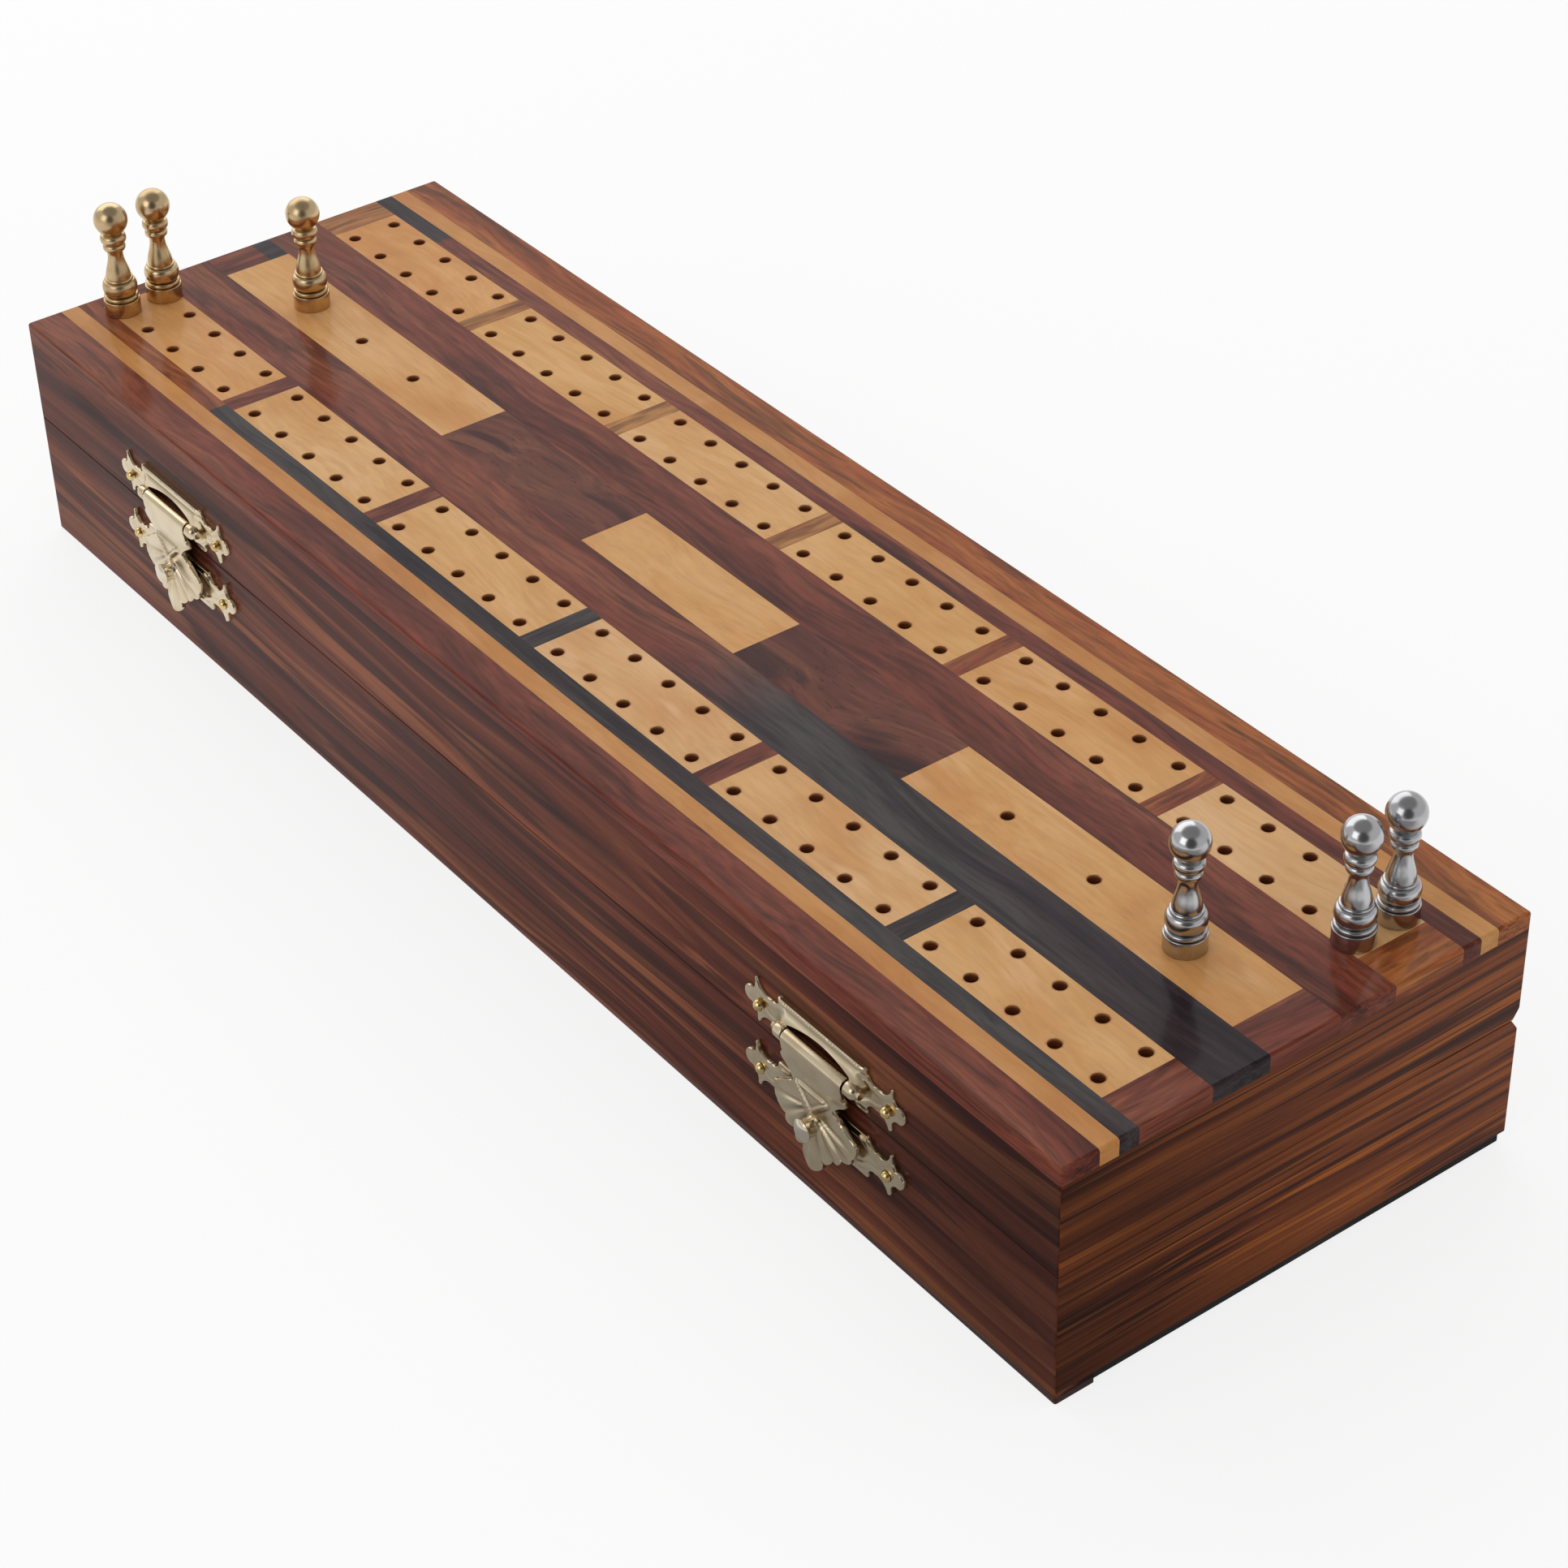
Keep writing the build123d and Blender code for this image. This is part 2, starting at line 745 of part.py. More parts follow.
def flute_lines():
    # Raised lines on the leaf, from the bend: flutes that spread from below the neck,
    # and a V between the neck's corners.
    apex = Vector(0, leaf_crook_drop - leaf_fan_drop + 0.6)
    corner = Vector(leaf_fan_half - 1.2, leaf_crook_drop - leaf_fan_drop - leaf_fan_side)
    tongue_root = Vector(leaf_tongue_half, leaf_crook_drop - leaf_length + leaf_tongue_length)
    neck = Vector(leaf_neck_half - 1.4, leaf_crook_drop - leaf_neck_drop - 0.2)
    right_half = [(apex, neck)]
    for number in range(leaf_lobes + 1):
        end = corner + (tongue_root - corner) * number / leaf_lobes
        end += (apex - end) * 0.08
        right_half.append((apex + (end - apex) * 0.25, end))
    left_half = [
        (Vector(-start.X, start.Y), Vector(-end.X, end.Y)) for start, end in right_half
    ]
    return right_half + left_half + [(neck, Vector(-neck.X, neck.Y))]


def flute_outline(start, end):
    # A thin wedge from start, widening towards end.
    along = (end - start).normalized()
    across = Vector(-along.Y, along.X) * leaf_flute_width / 2
    with BuildSketch() as outline:
        with BuildLine():
            Polyline(
                start + across / 2, end + across, end - across, start - across / 2, close=True
            )
        make_face()
    return outline.sketch


leaf_sketch = leaf_outline()

for side_name, side in sides.items():
    x = side * catch_x

    # Lid plate: wings, a folded ridge along its top and a knuckle each side of its slot.
    with BuildPart() as catch_plate:
        with BuildSketch(front_plane(x, catch_pin_z)):
            add(plate_sketch)
        extrude(amount=plate_sheet)
        with BuildSketch(side_plane(x, catch_pin_z)):
            with BuildLine():
                Polyline(
                    (0, plate_rise),
                    (plate_sheet, plate_rise),
                    (plate_sheet + plate_ridge, plate_rise - plate_ridge_below),
                    (plate_sheet + plate_ridge / 2, plate_rise - 1.5 * plate_ridge_below),
                    (plate_sheet + plate_ridge / 2, -plate_drop / 2),
                    (plate_sheet, -plate_drop),
                    (0, -plate_drop),
                    close=True,
                )
            make_face()
        extrude(amount=catch_body_width / 2, both=True)
        for end in sides.values():
            place = x + end * (slot_half + catch_knuckle_length / 2)
            with BuildSketch(side_plane(place, catch_pin_z)):
                with Locations((catch_pin_out, 0)):
                    Circle(catch_roll_radius)
            extrude(amount=catch_knuckle_length / 2, both=True)
        # the slot for the leaf's roll, arched at its top and open at its foot
        with BuildSketch(front_plane(x, catch_pin_z)):
            with BuildLine():
                Polyline(
                    (slot_half, slot_shoulder),
                    (slot_half, -plate_drop - 1),
                    (-slot_half, -plate_drop - 1),
                    (-slot_half, slot_shoulder),
                )
                ThreePointArc(
                    (-slot_half, slot_shoulder),
                    (0, catch_slot_height),
                    (slot_half, slot_shoulder),
                )
            make_face()
        extrude(amount=2 * (catch_pin_out + catch_roll_radius), mode=Mode.SUBTRACT)
        with BuildSketch(side_plane(x, catch_pin_z)):
            with Locations((catch_pin_out, 0)):
                Circle(catch_pin_radius + running_clearance)
        extrude(amount=catch_body_width, both=True, mode=Mode.SUBTRACT)
        with Locations(*nail_places(catch_pin_z)):
            add(nail_hole, mode=Mode.SUBTRACT)
    save(catch_plate, f"catch_plate_{side_name}")

    with BuildPart() as catch_pin:
        with BuildSketch(side_plane(x, catch_pin_z)):
            with Locations((catch_pin_out, 0)):
                Circle(catch_pin_radius)
        extrude(amount=catch_body_width / 2, both=True)
    save(catch_pin, f"catch_pin_{side_name}")

    # Keeper: the same wings on the base, with a low pad that the leaf lies over.
    with BuildPart() as keeper_plate:
        with BuildSketch(front_plane(x, keeper_z)):
            add(keeper_sketch)
        extrude(amount=plate_sheet)
        with BuildSketch(front_plane(x, keeper_z).offset(plate_sheet)):
            RectangleRounded(keeper_body_width * 0.7, keeper_rise + keeper_drop - 2.4, 1.5)
        extrude(amount=keeper_pad, taper=30)
        with Locations(*nail_places(keeper_z)):
            add(nail_hole, mode=Mode.SUBTRACT)
    save(keeper_plate, f"keeper_plate_{side_name}")

    # Leaf: rolled round the pin, waisted, then spread into a fluted shell with a tongue.
    with BuildPart() as catch_leaf:
        with BuildSketch(side_plane(x, catch_pin_z)):
            with BuildLine():
                Polyline(
                    (leaf_front, 0),
                    (crook_face, -leaf_crook_drop),
                    (tip_face, -leaf_length),
                    (tip_face - catch_leaf_sheet, -leaf_length),
                    (crook_face - catch_leaf_sheet, -leaf_crook_drop),
                    (leaf_front - catch_leaf_sheet, 0),
                    close=True,
                )
            make_face()
            with Locations((catch_pin_out, 0)):
                Circle(catch_roll_radius)
        extrude(amount=leaf_fan_half, both=True)
        with BuildSketch(front_plane(x, catch_pin_z)):
            add(leaf_sketch)
        extrude(amount=2 * leaf_front, mode=Mode.INTERSECT)
        with BuildSketch(fan_plane(x)):
            for start, end in flute_lines():
                add(flute_outline(start, end))
        extrude(amount=leaf_flute_height)
        with BuildSketch(side_plane(x, catch_pin_z)):
            with Locations((catch_pin_out, 0)):
                Circle(catch_pin_radius + running_clearance)
        extrude(amount=catch_body_width, both=True, mode=Mode.SUBTRACT)
        with BuildSketch(front_plane(x, catch_pin_z - knob_drop)):
            Circle(knob_rivet_radius)
        extrude(amount=2 * leaf_front, mode=Mode.SUBTRACT)
    save(catch_leaf, f"catch_leaf_{side_name}")

    # Knob: riveted through the leaf, with a domed head.
    with BuildPart() as catch_knob:
        with BuildSketch(side_plane(x, catch_pin_z - knob_drop)):
            with BuildLine():
                Polyline(
                    (knob_foot - catch_leaf_sheet, 0),
                    (knob_foot - catch_leaf_sheet, knob_rivet_radius),
                    (knob_seat, knob_rivet_radius),
                    (knob_seat, knob_stem_radius),
                    (knob_head - knob_dome - 0.7, knob_stem_radius),
                    (knob_head - knob_dome - 0.3, knob_head_radius),
                    (knob_head - knob_dome, knob_head_radius),
                )
                ThreePointArc(
                    (knob_head - knob_dome, knob_head_radius),
                    (knob_head - knob_dome + dome_height, dome_radius),
                    (knob_head, 0),
                )
                Line((knob_head, 0), (knob_foot - catch_leaf_sheet, 0))
            make_face()
        revolve(axis=Axis((x, -half_width, catch_pin_z - knob_drop), (0, -1, 0)))
    save(catch_knob, f"catch_knob_{side_name}")

with BuildPart() as catch_plate_nails:
    with Locations(*nail_places(catch_pin_z)):
        add(nail)
save(catch_plate_nails, "catch_plate_nails")

with BuildPart() as keeper_nails:
    with Locations(*nail_places(keeper_z)):
        add(nail)
save(keeper_nails, "keeper_nails")


# ---- Pegs: one turned profile, three in brass and three in steel ----

ring_top = peg_foot_height + peg_ring_height
bead_top = ring_top + peg_bead_height
vase_top = bead_top + peg_vase_height
collar_top = vase_top + peg_collar_height
upper_collar_top = collar_top + peg_upper_collar_height
ball_middle = upper_collar_top + math.sqrt(peg_ball_radius**2 - peg_neck_radius**2)
shank_radius = hole_radius - peg_hole_clearance
groove_radius = peg_foot_radius - 0.5
vase_foot_radius = peg_bead_radius - 0.7

with BuildPart() as peg_shape:
    with BuildSketch(Plane.XZ):
        with BuildLine():
            Polyline(
                (0, -peg_shank_length),
                (shank_radius - 0.4, -peg_shank_length),
                (shank_radius, -peg_shank_length + 0.6),
                (shank_radius, 0),
                (peg_foot_radius - 0.15, 0),
                (peg_foot_radius, 0.15),
                (peg_foot_radius, peg_foot_height),
                (peg_foot_radius - 0.05, peg_foot_height + 0.4),
                (groove_radius, ring_top),
            )
            ThreePointArc(
                (groove_radius, ring_top),
                (peg_bead_radius, ring_top + 0.45 * peg_bead_height),
                (vase_foot_radius, bead_top),
            )
            Spline(
                (vase_foot_radius, bead_top),
                (peg_waist_radius + 0.65, bead_top + 0.3 * peg_vase_height),
                (peg_waist_radius, bead_top + 0.8 * peg_vase_height),
                (peg_waist_radius + 0.15, vase_top),
                tangents=((0.1, 1.0), (0.25, 1.0)),
            )
            Line((peg_waist_radius + 0.15, vase_top), (peg_collar_radius - 0.4, vase_top))
            ThreePointArc(
                (peg_collar_radius - 0.4, vase_top),
                (peg_collar_radius, vase_top + peg_collar_height / 2),
                (peg_collar_radius - 0.3, collar_top),
            )
            ThreePointArc(
                (peg_collar_radius - 0.3, collar_top),
                (peg_upper_collar_radius, collar_top + 0.55 * peg_upper_collar_height),
                (peg_neck_radius, upper_collar_top),
            )
            ThreePointArc(
                (peg_neck_radius, upper_collar_top),
                (peg_ball_radius, ball_middle),
                (0, ball_middle + peg_ball_radius),
            )
            Line((0, ball_middle + peg_ball_radius), (0, -peg_shank_length))
        make_face()
    revolve(axis=Axis.Z)

front_holes = track_holes("front")
back_holes = track_holes("back")
peg_places = {
    "peg_brass_outer": front_holes[0],
    "peg_brass_inner": front_holes[1],
    "peg_brass_centre": panel_holes("left")[0],
    "peg_steel_outer": back_holes[-2],
    "peg_steel_inner": back_holes[-1],
    "peg_steel_centre": panel_holes("right")[-1],
}
for peg_name, (x, y) in peg_places.items():
    with BuildPart() as peg:
        with Locations((x, y, box_height + peg_seat_gap)):
            add(peg_shape.part)
    save(peg, peg_name)

print("lid hinge axis y, z", round(hinge_y, 3), round(seam_z, 3))
print("catch pin y, z and x", -half_width - catch_pin_out, catch_pin_z, catch_x)
print("bevels of the back groove meet at", round(2 * math.degrees(
    math.atan(back_bevel_height / back_bevel_depth)), 1), "degrees")
for peg_name, place in peg_places.items():
    print(peg_name, [round(value, 3) for value in place])
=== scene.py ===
import math
import json
import bpy
import numpy as np
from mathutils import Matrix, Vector
from mathutils.geometry import delaunay_2d_cdt


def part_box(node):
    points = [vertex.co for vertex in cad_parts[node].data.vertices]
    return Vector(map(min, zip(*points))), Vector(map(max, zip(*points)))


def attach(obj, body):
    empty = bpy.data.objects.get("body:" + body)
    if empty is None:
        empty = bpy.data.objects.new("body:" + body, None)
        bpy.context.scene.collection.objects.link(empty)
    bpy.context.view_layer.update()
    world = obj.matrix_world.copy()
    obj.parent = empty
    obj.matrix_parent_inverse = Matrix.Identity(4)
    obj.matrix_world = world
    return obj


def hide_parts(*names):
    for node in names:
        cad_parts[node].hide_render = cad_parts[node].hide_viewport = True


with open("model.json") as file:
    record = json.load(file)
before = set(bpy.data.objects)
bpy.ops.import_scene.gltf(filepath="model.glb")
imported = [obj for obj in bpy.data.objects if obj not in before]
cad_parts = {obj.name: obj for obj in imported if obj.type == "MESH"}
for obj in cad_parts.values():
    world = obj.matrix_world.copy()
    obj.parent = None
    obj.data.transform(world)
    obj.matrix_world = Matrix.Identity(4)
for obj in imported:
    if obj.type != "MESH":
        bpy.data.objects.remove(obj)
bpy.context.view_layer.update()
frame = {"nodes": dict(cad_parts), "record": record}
nodes = frame["nodes"]
mm = 0.001

# The box, in millimetres, read from the frame
topLow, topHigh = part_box("border_front")
boxTop = topHigh.z / mm
halfLength = topHigh.x / mm
halfWidth = -topLow.y / mm
sides = (("left", -1), ("right", 1))

# Layout of the inlay: tracks of tiles with holes, and the counting panels' rows of three holes
layout = {
    "trackMiddle": 27.0,
    "tileCount": 6,
    "separator": 4.7,
    "leadFront": 4.4,
    "leadBack": 8.3,
    "tail": 8.8,
    "holeColumns": 5,
    "holeInset": 3.8,
    "holeRow": 4.9,
    "holeRadius": 1.25,
    "panelMiddle": 114.4,
    "leftPitch": 19.5,
    "rightPitch": 22.3,
}


def newMaterial(name):
    material = bpy.data.materials.new(name)
    material.use_nodes = True
    material.node_tree.nodes.clear()
    return material


def feed(tree, socket, value):
    if isinstance(value, bpy.types.NodeSocket):
        tree.links.new(value, socket)
    else:
        socket.default_value = value


def addNode(tree, kind, inputs=None, **settings):
    node = tree.nodes.new("ShaderNode" + kind)
    for key, value in settings.items():
        setattr(node, key, value)
    for key, value in (inputs or {}).items():
        feed(tree, node.inputs[key], value)
    return node


def calc(tree, operation, *values):
    node = addNode(tree, "Math", operation=operation)
    for socket, value in zip(node.inputs, values):
        feed(tree, socket, value)
    return node.outputs[0]


def vectorCalc(tree, operation, *values):
    node = addNode(tree, "VectorMath", operation=operation)
    for socket, value in zip(node.inputs, values):
        feed(tree, socket, value)
    return node.outputs[0]


def fade(tree, value, start, end, low=0.0, high=1.0):
    settings = {"Value": value, "From Min": start, "From Max": end, "To Min": low, "To Max": high}
    return addNode(tree, "MapRange", settings, interpolation_type="SMOOTHSTEP").outputs["Result"]


def mixColors(tree, factor, first, second, blend="MIX"):
    node = addNode(tree, "Mix", data_type="RGBA", blend_type=blend)
    for index, value in ((0, factor), (6, first), (7, second)):
        if isinstance(value, tuple):
            value = (*value, 1.0)
        feed(tree, node.inputs[index], value)
    return node.outputs[2]


def shaded(tree, color, share):
    # A colour made darker or paler by a number
    grey = addNode(tree, "CombineColor", {0: share, 1: share, 2: share}).outputs[0]
    return mixColors(tree, 1.0, color, grey, "MULTIPLY")


def flatLength(tree, along, across):
    both = addNode(tree, "CombineXYZ", {0: along, 1: across, 2: 0.0}).outputs[0]
    return addNode(tree, "VectorMath", {0: both}, operation="LENGTH").outputs["Value"]


def ramp(tree, factor, stops):
    node = addNode(tree, "ValToRGB", {"Fac": factor})
    elements = node.color_ramp.elements
    for element, stop in ((elements[0], stops[0]), (elements[1], stops[-1])):
        element.position = stop[0]
        element.color = (*stop[1], 1.0)
    for position, color in stops[1:-1]:
        elements.new(position).color = (*color, 1.0)
    return node.outputs["Color"]


def noiseOf(tree, place, size, detail=2.0, roughness=0.55, seed=0.0, color=False):
    # place is in millimetres, and size is how large the figure is along each axis
    scaled = vectorCalc(tree, "MULTIPLY", place, tuple(1 / part for part in size))
    scaled = vectorCalc(tree, "ADD", scaled, (seed, seed * 0.37, seed * 0.71))
    settings = {"Vector": scaled, "Scale": 1.0, "Detail": detail, "Roughness": roughness}
    noiseNode = addNode(tree, "TexNoise", settings)
    return noiseNode.outputs["Color" if color else "Fac"]


def placeInMm(tree, turn=0.0, shift=(0.0, 0.0, 0.0)):
    # Row-frame millimetres, turned about Z and shifted
    coordinates = addNode(tree, "TexCoord").outputs["Object"]
    settings = {
        "Vector": coordinates,
        "Scale": (1 / mm, 1 / mm, 1 / mm),
        "Rotation": (0, 0, math.radians(turn)),
        "Location": shift,
    }
    return addNode(tree, "Mapping", settings, vector_type="POINT").outputs[0]


def axesInMm(tree):
    # Row-frame millimetres along X, Y and Z
    return addNode(tree, "SeparateXYZ", {0: placeInMm(tree)}).outputs


def finishSurface(material, color, roughness, height, bump, settings):
    # Principled surface with a bump; settings hold the sockets that are the same all over
    tree = material.node_tree
    bumped = {"Height": height, "Strength": bump["strength"], "Distance": bump["distance"] * mm}
    normal = addNode(tree, "Bump", bumped).outputs[0]
    inputs = {"Base Color": color, "Roughness": roughness, "Normal": normal, **settings}
    shader = addNode(tree, "BsdfPrincipled", inputs)
    addNode(tree, "OutputMaterial", {"Surface": shader.outputs[0]})
    return material


def dress(material, *names):
    for name in names:
        mesh = nodes[name].data
        if not mesh.materials:
            mesh.materials.append(material)
        for index in range(len(mesh.materials)):
            mesh.materials[index] = material


# Finishes of the woods: a thin lacquer, and bare or stained wood
lacquer = {
    "Specular IOR Level": 0.02,
    "Coat Weight": 0.21,
    "Coat Roughness": 0.12,
}
dull = {"Specular IOR Level": 0.12}
woodBump = {"strength": 0.5, "distance": 0.06}

# Each wood has a middle colour, which the bands, flames, streaks, fibres and pores multiply, and
# the size of each figure in millimetres along the grain, across it and through it

rosewood = {
    "middle": (0.165, 0.034, 0.017),
    "bandDark": (0.32, 0.34, 0.5),
    "bandLight": (1.6, 1.9, 1.6),
    "bandSize": (230.0, 7.0, 7.0),
    "streak": (0.14, 0.2, 0.4),
    "streakSize": (150.0, 2.6, 2.6),
    "streakAmount": 0.6,
    "flame": (2.1, 2.9, 2.1),
    "flameSize": (130.0, 2.0, 2.0),
    "flameAmount": 0.65,
    "patchSize": (110.0, 20.0, 20.0),
    "fibreSize": (35.0, 0.4, 0.4),
    "fibre": 0.14,
    "pore": 0.4,
    "wander": 6.0,
    "waveSize": (80.0, 22.0, 22.0),
    "roughness": 0.42,
}

wallLook = {
    **rosewood,
    "bandDark": (0.32, 0.34, 0.45),
    "bandLight": (1.9, 2.3, 1.9),
    "bandSize": (300.0, 9.0, 9.0),
    "streak": (0.25, 0.28, 0.4),
    "streakSize": (220.0, 3.6, 3.6),
    "flame": (2.7, 3.9, 2.8),
    "flameSize": (190.0, 3.0, 3.0),
    "flameAmount": 0.7,
    "patchSize": (130.0, 24.0, 24.0),
    "fibreSize": (60.0, 0.5, 0.5),
    "fibre": 0.1,
    "pore": 0.2,
    "wander": 9.0,
    "waveSize": (220.0, 34.0, 34.0),
    # painted shade: how much darker the walls are made round the near corner
    "cornerShade": 0.5,
}

ebony = {
    **rosewood,
    "middle": (0.015, 0.007, 0.006),
    "bandDark": (0.6, 0.65, 0.75),
    "bandLight": (1.6, 1.4, 1.1),
    "flame": (3.0, 2.2, 1.5),
    "flameAmount": 0.35,
    "streakAmount": 0.4,
    "pore": 0.3,
    "wander": 2.5,
}

maple = {
    "middle": (0.6, 0.315, 0.115),
    "bandDark": (0.9, 0.8, 0.72),
    "bandLight": (1.06, 1.12, 1.25),
    "bandSize": (30.0, 6.0, 6.0),
    "streak": (0.92, 0.84, 0.72),
    "streakSize": (26.0, 0.9, 0.9),
    "streakAmount": 0.4,
    "flame": (1.08, 1.16, 1.45),
    "flameSize": (22.0, 2.4, 2.4),
    "flameAmount": 0.6,
    "patchSize": (14.0, 7.0, 7.0),
    "fibreSize": (12.0, 0.35, 0.35),
    "fibre": 0.05,
    "pore": 0.06,
    "wander": 3.5,
    "waveSize": (80.0, 22.0, 22.0),
    "roughness": 0.42,
}
stripMaple = {**maple, "middle": (0.51, 0.235, 0.075)}


def woodLook(tree, place, look, middle=None, seed=0.0):
    # Colour, roughness and height of a wood whose grain runs along the first axis of place
    place = vectorCalc(tree, "MULTIPLY", place, (1.0, 0.35, 1.0))
    wander = noiseOf(tree, place, look["waveSize"], seed=seed + 3.1, color=True)
    wander = vectorCalc(tree, "SUBTRACT", wander, (0.5, 0.5, 0.5))
    wander = vectorCalc(tree, "MULTIPLY", wander, (0.0, 2 * look["wander"], 2 * look["wander"]))
    place = vectorCalc(tree, "ADD", place, wander)
    patches = noiseOf(tree, place, look["patchSize"], seed=seed + 29.0)
    bands = noiseOf(tree, place, look["bandSize"], detail=3.0, seed=seed)
    streaks = noiseOf(tree, place, look["streakSize"], seed=seed + 11.3)
    flames = noiseOf(tree, place, look["flameSize"], seed=seed + 23.9)
    fibres = noiseOf(tree, place, look["fibreSize"], seed=seed + 5.7)
    pores = noiseOf(tree, place, (5.0, 0.24, 0.24), detail=1.0, seed=seed + 41.0)
    stops = ((0.34, look["bandDark"]), (0.5, (1.0, 1.0, 1.0)), (0.66, look["bandLight"]))
    tone = ramp(tree, bands, stops)
    flameShare = calc(tree, "MULTIPLY", fade(tree, flames, 0.51, 0.62), look["flameAmount"])
    flameShare = calc(tree, "MULTIPLY", flameShare, fade(tree, patches, 0.4, 0.6, 0.25, 1.0))
    tone = mixColors(tree, flameShare, tone, look["flame"])
    streakShare = calc(tree, "MULTIPLY", fade(tree, streaks, 0.53, 0.61), look["streakAmount"])
    tone = mixColors(tree, streakShare, tone, look["streak"])
    fibreTone = fade(tree, fibres, 0.3, 0.7, 1 - look["fibre"], 1 + look["fibre"])
    poreShare = fade(tree, pores, 0.62, 0.72)
    shade = calc(tree, "MULTIPLY_ADD", poreShare, -look["pore"], 1.0)
    shade = calc(tree, "MULTIPLY", shade, fibreTone)
    color = mixColors(tree, 1.0, tone, middle or look["middle"], "MULTIPLY")
    # Painted shade: the board is made darker round the near corner, which lies in shade
    if "cornerShade" in look:  # the board is darkest where it turns the near corner
        along = addNode(tree, "SeparateXYZ", {0: place}).outputs[0]
        away = calc(tree, "ABSOLUTE", calc(tree, "SUBTRACT", along, halfLength - 10.0))
        away = calc(tree, "MULTIPLY_ADD", patches, 60.0, away)
        color = shaded(tree, color, fade(tree, away, 30.0, 110.0, 1 - look["cornerShade"], 1.0))
    color = shaded(tree, color, shade)
    smudge = noiseOf(tree, place, (40.0, 30.0, 30.0), seed=seed + 61.0)
    roughness = fade(tree, smudge, 0.3, 0.7, look["roughness"] - 0.06, look["roughness"] + 0.08)
    height = calc(tree, "MULTIPLY_ADD", poreShare, -1.0, calc(tree, "MULTIPLY", fibres, 0.35))
    return color, roughness, height


def woodMaterial(name, look, turn=0.0, shift=(0.0, 0.0, 0.0), middle=None, seed=0.0, coat=lacquer):
    # middle replaces the look's middle colour; it is a colour, or a function that makes one
    material = newMaterial(name)
    tree = material.node_tree
    if callable(middle):
        middle = middle(tree)
    color, roughness, height = woodLook(tree, placeInMm(tree, turn, shift), look, middle, seed)
    return finishSurface(material, color, roughness, height, woodBump, coat)


stripedLook = {
    **wallLook,
    "bandDark": (0.36, 0.36, 0.5),
    "bandLight": (1.6, 1.8, 1.4),
    "bandSize": (170.0, 6.0, 6.0),
    "streak": (0.16, 0.2, 0.45),
    "streakSize": (120.0, 1.3, 1.3),
    "streakAmount": 0.75,
    "flame": (2.7, 3.2, 1.7),
    "flameSize": (110.0, 1.5, 1.5),
    "flameAmount": 0.9,
    "fibre": 0.16,
    "wander": 4.0,
}

# The walls are cut from one board that wraps round the box; only the right end is a striped one
halfRound = halfLength + halfWidth
walls = {
    # Painted shade: the front wall's middle colour is made darker, for the front face in shade
    "front_wall": {"shift": (0, halfWidth, 0), "middle": (0.108, 0.025, 0.014)},
    "right_end": {
        "look": stripedLook,
        "turn": -90.0,
        "shift": (halfRound, halfLength, 0),
        "middle": (0.15, 0.036, 0.011),
        "seed": 14.0,
    },
    "back_wall": {
        "turn": 180.0, "shift": (2 * halfRound, halfWidth, 0), "middle": (0.115, 0.027, 0.014)
    },
    "left_end": {
        "turn": 90.0, "shift": (-halfRound, halfLength, 0), "middle": (0.115, 0.027, 0.014)
    },
}
for side, wall in walls.items():
    board = woodMaterial("rosewood_" + side, **{"look": wallLook, **wall})
    dress(board, "base_" + side, "lid_" + side)

# Strips of the top. Each colour holds up to its place along the box, in millimetres, and the next
# one starts there, over a soft length
woodColors = {
    "purple": (0.16, 0.038, 0.023),
    "brown": (0.21, 0.05, 0.022),
    "orange": (0.27, 0.07, 0.022),
    "olive": (0.3, 0.11, 0.038),
    "dark": (0.1, 0.027, 0.019),
    "black": (0.042, 0.028, 0.031),
}
strips = {
    "border_front": {"seed": 2.0, "colors": (("purple", None),)},
    "border_back": {"seed": 7.0, "colors": (("orange", None),)},
    "long_strip_front": {"seed": 12.0, "colors": (("purple", 28.0), ("black", None)), "soft": 40.0},
    "long_strip_back": {"seed": 17.0, "colors": (("purple", None),)},
    "dark_strip_front": {"seed": 21.0, "colors": (("brown", -110.0), ("black", None))},
    "dark_strip_back": {"seed": 26.0, "colors": (("black", -140.0), ("purple", None)), "soft": 3.0},
}


def stripMaterial(name, look, turn, seed, colors, soft=0.3):
    def middle(tree):
        along = axesInMm(tree)[0]
        color = woodColors[colors[0][0]]
        for (_, limit), (colorName, _) in zip(colors, colors[1:]):
            share = fade(tree, along, limit - soft / 2, limit + soft / 2)
            color = mixColors(tree, share, color, woodColors[colorName])
        return color

    return woodMaterial(name, look, turn, middle=middle, seed=seed)


stripLook = {
    **rosewood,
    "wander": 2.5,
    "bandSize": (120.0, 4.0, 4.0),
    "streakSize": (70.0, 1.2, 1.2),
    "streakAmount": 0.45,
    "bandDark": (0.55, 0.52, 0.55),
    "bandLight": (1.25, 1.6, 1.45),
    "flame": (1.5, 2.1, 1.6),
    "flameSize": (60.0, 1.0, 1.0),
    "flameAmount": 0.5,
    "fibreSize": (11.0, 0.32, 0.32),
    "fibre": 0.24,
    "pore": 0.2,
}
blockLook = {
    **stripLook,
    "bandSize": (30.0, 3.0, 3.0),
    "streakSize": (16.0, 0.8, 0.8),
    "flameSize": (16.0, 0.9, 0.9),
    "streak": (0.3, 0.32, 0.4),
}
for name, strip in strips.items():
    dress(stripMaterial("wood_" + name, stripLook, 0.0, **strip), name)


trackLength = 2 * halfLength - layout["tail"] - (layout["tileCount"] - 1) * layout["separator"]
trackLeads = {"front": layout["leadFront"], "back": layout["leadBack"]}
tileLengths = {row: (trackLength - lead) / layout["tileCount"] for row, lead in trackLeads.items()}
tileStarts = {row: lead - halfLength for row, lead in trackLeads.items()}
tilePeriods = {row: length + layout["separator"] for row, length in tileLengths.items()}


